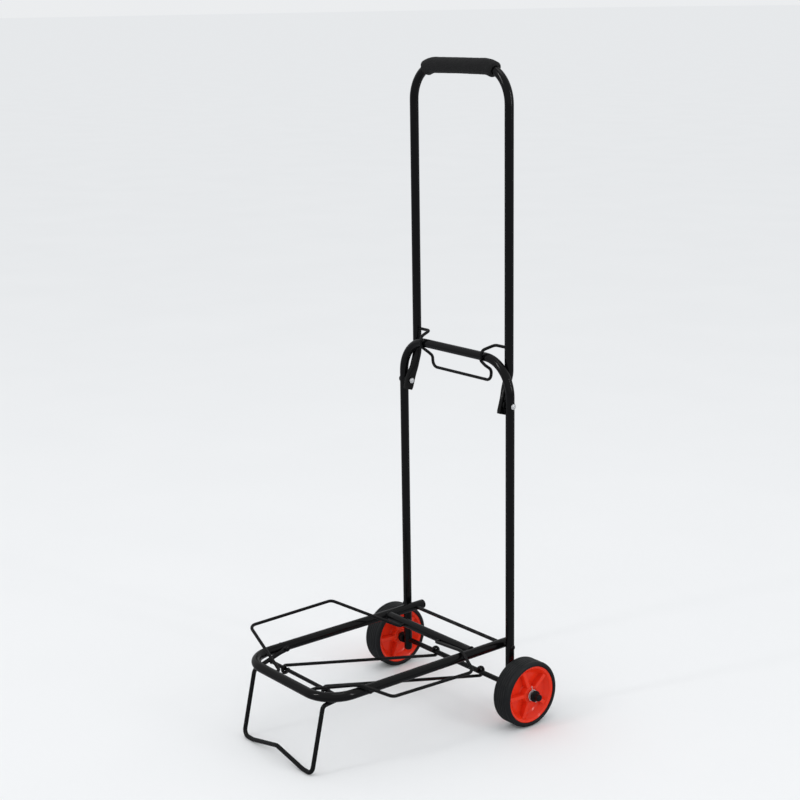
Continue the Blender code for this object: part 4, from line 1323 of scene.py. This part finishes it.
@dataclass
class Wheel:
    """A wheel: a dished red rim with five spokes on each face, and a grooved solid tyre."""

    shop: Workshop
    side: Side
    hub: float = 0.0125
    bore: float = 0.0043
    web: float = 0.003
    spokes: int = 5
    first_spoke: float = math.radians(36)
    groove_depth: float = 0.0009
    rim: float = 0.0429

    def build(self) -> None:
        """Build and dress the wheel."""
        low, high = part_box("rim_" + self.side.label)
        self.centre = Vector(((low.x + high.x) / 2, (low.y + high.y) / 2, joint_point("wheel_left_spin").z))
        self.half = (high.x - low.x) / 2
        self._rim()
        self._tyre()

    def _rim(self) -> None:
        """The moulded rim, with its spokes grown round the hub."""
        half, rim = self.half, self.rim
        face = [(-half, self.bore), (-half, 0.0084), (-half + 0.0010, 0.0088), (-half + 0.0010, 0.0104),
                (-half, 0.0108), (-half, self.hub - 0.0008), (-half + 0.0008, self.hub),
                (-self.web - 0.0012, self.hub + 0.0012), (-self.web, self.hub + 0.0026),
                (-self.web, rim - 0.0120), (-self.web - 0.0014, rim - 0.0096),
                (-half + 0.0052, rim - 0.0062), (-half + 0.0030, rim - 0.0046), (-half + 0.0014, rim - 0.0036),
                (-half + 0.0006, rim - 0.0016), (-half, rim - 0.0008), (-half, rim)]
        outline = softened(face + [(-t, r) for t, r in reversed(face)], 0.0007, 3)
        bars = [turned(outline, self.centre, (1, 0, 0), 120)]
        spoke = self._spoke()
        values = {"Count": self.spokes, "Turn": self.first_spoke, "Hub": tuple(self.centre),
                  "Finish": self.shop.materials[Slot.RED]}
        bars.append(self.shop.grown(spoke, "spoke_ring", values))
        body = "wheel_" + self.side.label
        name = "rim_" + self.side.label
        self.shop.hand_over("wheel_" + name, joined(bars), Slot.RED, body, [name])

    def _spoke(self) -> bpy.types.Mesh:
        """One spoke about the hub's centre: a rib through the web, its edges rounded, its ends let into hub and rim."""
        start, end = self.hub - 0.0022, self.rim - 0.0056
        count = 12
        points = [Vector((0, start + (end - start) * i / count, 0)) for i in range(count + 1)]
        sections = []
        for i in range(count + 1):
            t = i / count
            tall = self.half - 0.0010 - 0.0022 * t
            wide = 0.0031 + 0.0006 * (2 * t - 1) ** 4
            sections.append(Section(tall, wide, 0.22))
        bm = sweep(points, sections, 40, (1, 0, 0))
        mesh = bpy.data.meshes.new("spoke")
        bmesh.ops.recalc_face_normals(bm, faces=bm.faces)
        bm.to_mesh(mesh)
        bm.free()
        return mesh

    def _tyre(self) -> None:
        """The tyre: round shoulders, a raised bead beside the rim and grooves round the tread."""
        low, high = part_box("tyre_" + self.side.label)
        wide = (high.x - low.x) / 2
        outer = (high.z - low.z) / 2
        inner = self.rim + 0.0002
        shoulder = 0.0048
        outline = [(-wide + 0.0016, inner), (-wide + 0.0004, inner + 0.0005), (-wide, inner + 0.0014)]
        for angle in np.linspace(0, math.pi / 2, 9):
            outline.append((-wide + shoulder * (1 - math.cos(angle)), outer - shoulder * (1 - math.sin(angle))))
        for groove in (-0.0085, -0.0043, 0.0, 0.0043, 0.0085):
            half, deep = 0.00055, self.groove_depth
            crown = 0.00025 * (groove / 0.0085) ** 2
            outline += [(groove - half - 0.0003, outer - crown), (groove - half, outer - deep * 0.8 - crown),
                        (groove, outer - deep - crown), (groove + half, outer - deep * 0.8 - crown),
                        (groove + half + 0.0003, outer - crown)]
        right = [(-t, r) for t, r in outline[:12]]
        outline += right[::-1]
        bm = turned(outline, self.centre, (1, 0, 0), 160)
        body = "wheel_" + self.side.label
        name = "tyre_" + self.side.label
        self.shop.hand_over("solid_" + name, bm, Slot.RUBBER, body, [name], 50.0)


# ---------------------------------------------------------------- studio

@dataclass
class Studio:
    """The floor, the soft lights and the camera."""

    camera_at: tuple[float, float, float] = (1.76553, -1.38075, 1.03653)
    looks_at: tuple[float, float, float] = (-0.26488, 0.25465, 0.400)
    roll: float = -0.01571
    lens: float = 72.77
    seen_strength: float = 0.88
    fill_strength: float = 0.95
    mirrored_strength: float = 0.40
    floor_half: float = 240.0

    def build(self) -> None:
        """Build the studio round the cart."""
        self._floor()
        self._world()
        self._lights()
        self._camera()

    def _floor(self) -> None:
        """A wide pale floor with a faint cast of texture. It is painted dark grey where glossy rays see it, which
        paints shade into its reflection on the shiny parts.
        """
        bm = bmesh.new()
        bmesh.ops.create_grid(bm, x_segments=1, y_segments=1, size=self.floor_half)
        mesh = bpy.data.meshes.new("studio_floor")
        bm.to_mesh(mesh)
        bm.free()
        floor = bpy.data.objects.new("studio_floor", mesh)
        bpy.context.scene.collection.objects.link(floor)
        mat = bpy.data.materials.new("pale_floor")
        mat.use_nodes = True
        tree = mat.node_tree
        shader = tree.nodes["Principled BSDF"]
        shader.inputs["Roughness"].default_value = 0.55
        shader.inputs["Specular IOR Level"].default_value = 0.0
        mottled = mixed(tree, object_noise(tree, 3.0, 2.0), (0.865, 0.87, 0.875), (0.895, 0.898, 0.902))
        # Painted shade: for glossy rays only, the floor's colour becomes dark grey, so shiny parts show a painted dark
        # reflection of the floor.
        painted_reflection_shade = node(tree, "ShaderNodeLightPath").outputs["Is Glossy Ray"]
        tree.links.new(mixed(tree, painted_reflection_shade, mottled, (0.26, 0.26, 0.27)), shader.inputs["Base Color"])
        mesh.materials.append(mat)

    def _world(self) -> None:
        """A pale, even surround."""
        world = bpy.data.worlds.new("pale_surround")
        world.use_nodes = True
        tree = world.node_tree
        background = tree.nodes["Background"]
        background.inputs["Color"].default_value = (0.95, 0.965, 0.98, 1.0)
        rays = node(tree, "ShaderNodeLightPath")
        seen = math_node(tree, "MULTIPLY", rays.outputs["Is Camera Ray"], self.seen_strength - self.fill_strength)
        dimming = self.mirrored_strength - self.fill_strength
        mirrored = math_node(tree, "MULTIPLY", rays.outputs["Is Glossy Ray"], dimming)
        change = math_node(tree, "ADD", seen, mirrored)
        tree.links.new(math_node(tree, "ADD", change, self.fill_strength), background.inputs["Strength"])
        bpy.context.scene.world = world
        bpy.context.scene.view_settings.view_transform = "Standard"

    def _lights(self) -> None:
        """Soft boxes: one high at the left, a long one at the right, and one overhead."""
        for name, at, size, power, target in (
            ("key_box", (-0.6, -2.6, 2.4), (0.22, 1.3), 11.0, (0, 0, 0.45)),
            ("side_box", (2.6, 0.9, 1.5), (0.18, 1.5), 8.0, (0, 0, 0.5)),
            ("top_box", (0.2, 0.2, 3.0), (1.0, 1.0), 3.0, (0, 0, 0)),
        ):
            light = bpy.data.lights.new(name, "AREA")
            light.shape = "RECTANGLE"
            light.size, light.size_y = size
            light.energy = power
            lamp = bpy.data.objects.new(name, light)
            bpy.context.scene.collection.objects.link(lamp)
            lamp.location = at
            lamp.rotation_euler = (Vector(target) - Vector(at)).to_track_quat("-Z", "Y").to_euler()

    def _camera(self) -> None:
        """The camera at the cart's front right, a little above its middle."""
        data = bpy.data.cameras.new("camera")
        data.lens = self.lens
        data.sensor_width = 36.0
        camera = bpy.data.objects.new("camera", data)
        bpy.context.scene.collection.objects.link(camera)
        forward = (Vector(self.looks_at) - Vector(self.camera_at)).normalized()
        right = forward.cross(Vector((0, 0, 1))).normalized()
        up = right.cross(forward)
        c, s = math.cos(self.roll), math.sin(self.roll)
        across, above = right * c + up * s, up * c - right * s
        turn = Matrix((across, above, -forward)).transposed()
        camera.matrix_world = Matrix.Translation(self.camera_at) @ turn.to_4x4()
        bpy.context.scene.camera = camera


def main() -> None:
    """Build the cart, piece by piece, and the studio round it."""
    logging.basicConfig(level=logging.INFO, format="%(name)s %(message)s")
    Studio().build()
    shop = Workshop()
    shop.open()
    mast = Mast(shop)
    mast.build()
    Handle(shop).build()
    Latch(shop, mast).build()
    platform = Platform(shop)
    platform.build()
    FrontLeg(shop).build()
    for side in Side:
        Link(shop, side).build()
        Wing(shop, platform, side).build()
        Wheel(shop, side).build()
    log.info("%d pieces built", shop.made)


if __name__ == "__main__":
    main()
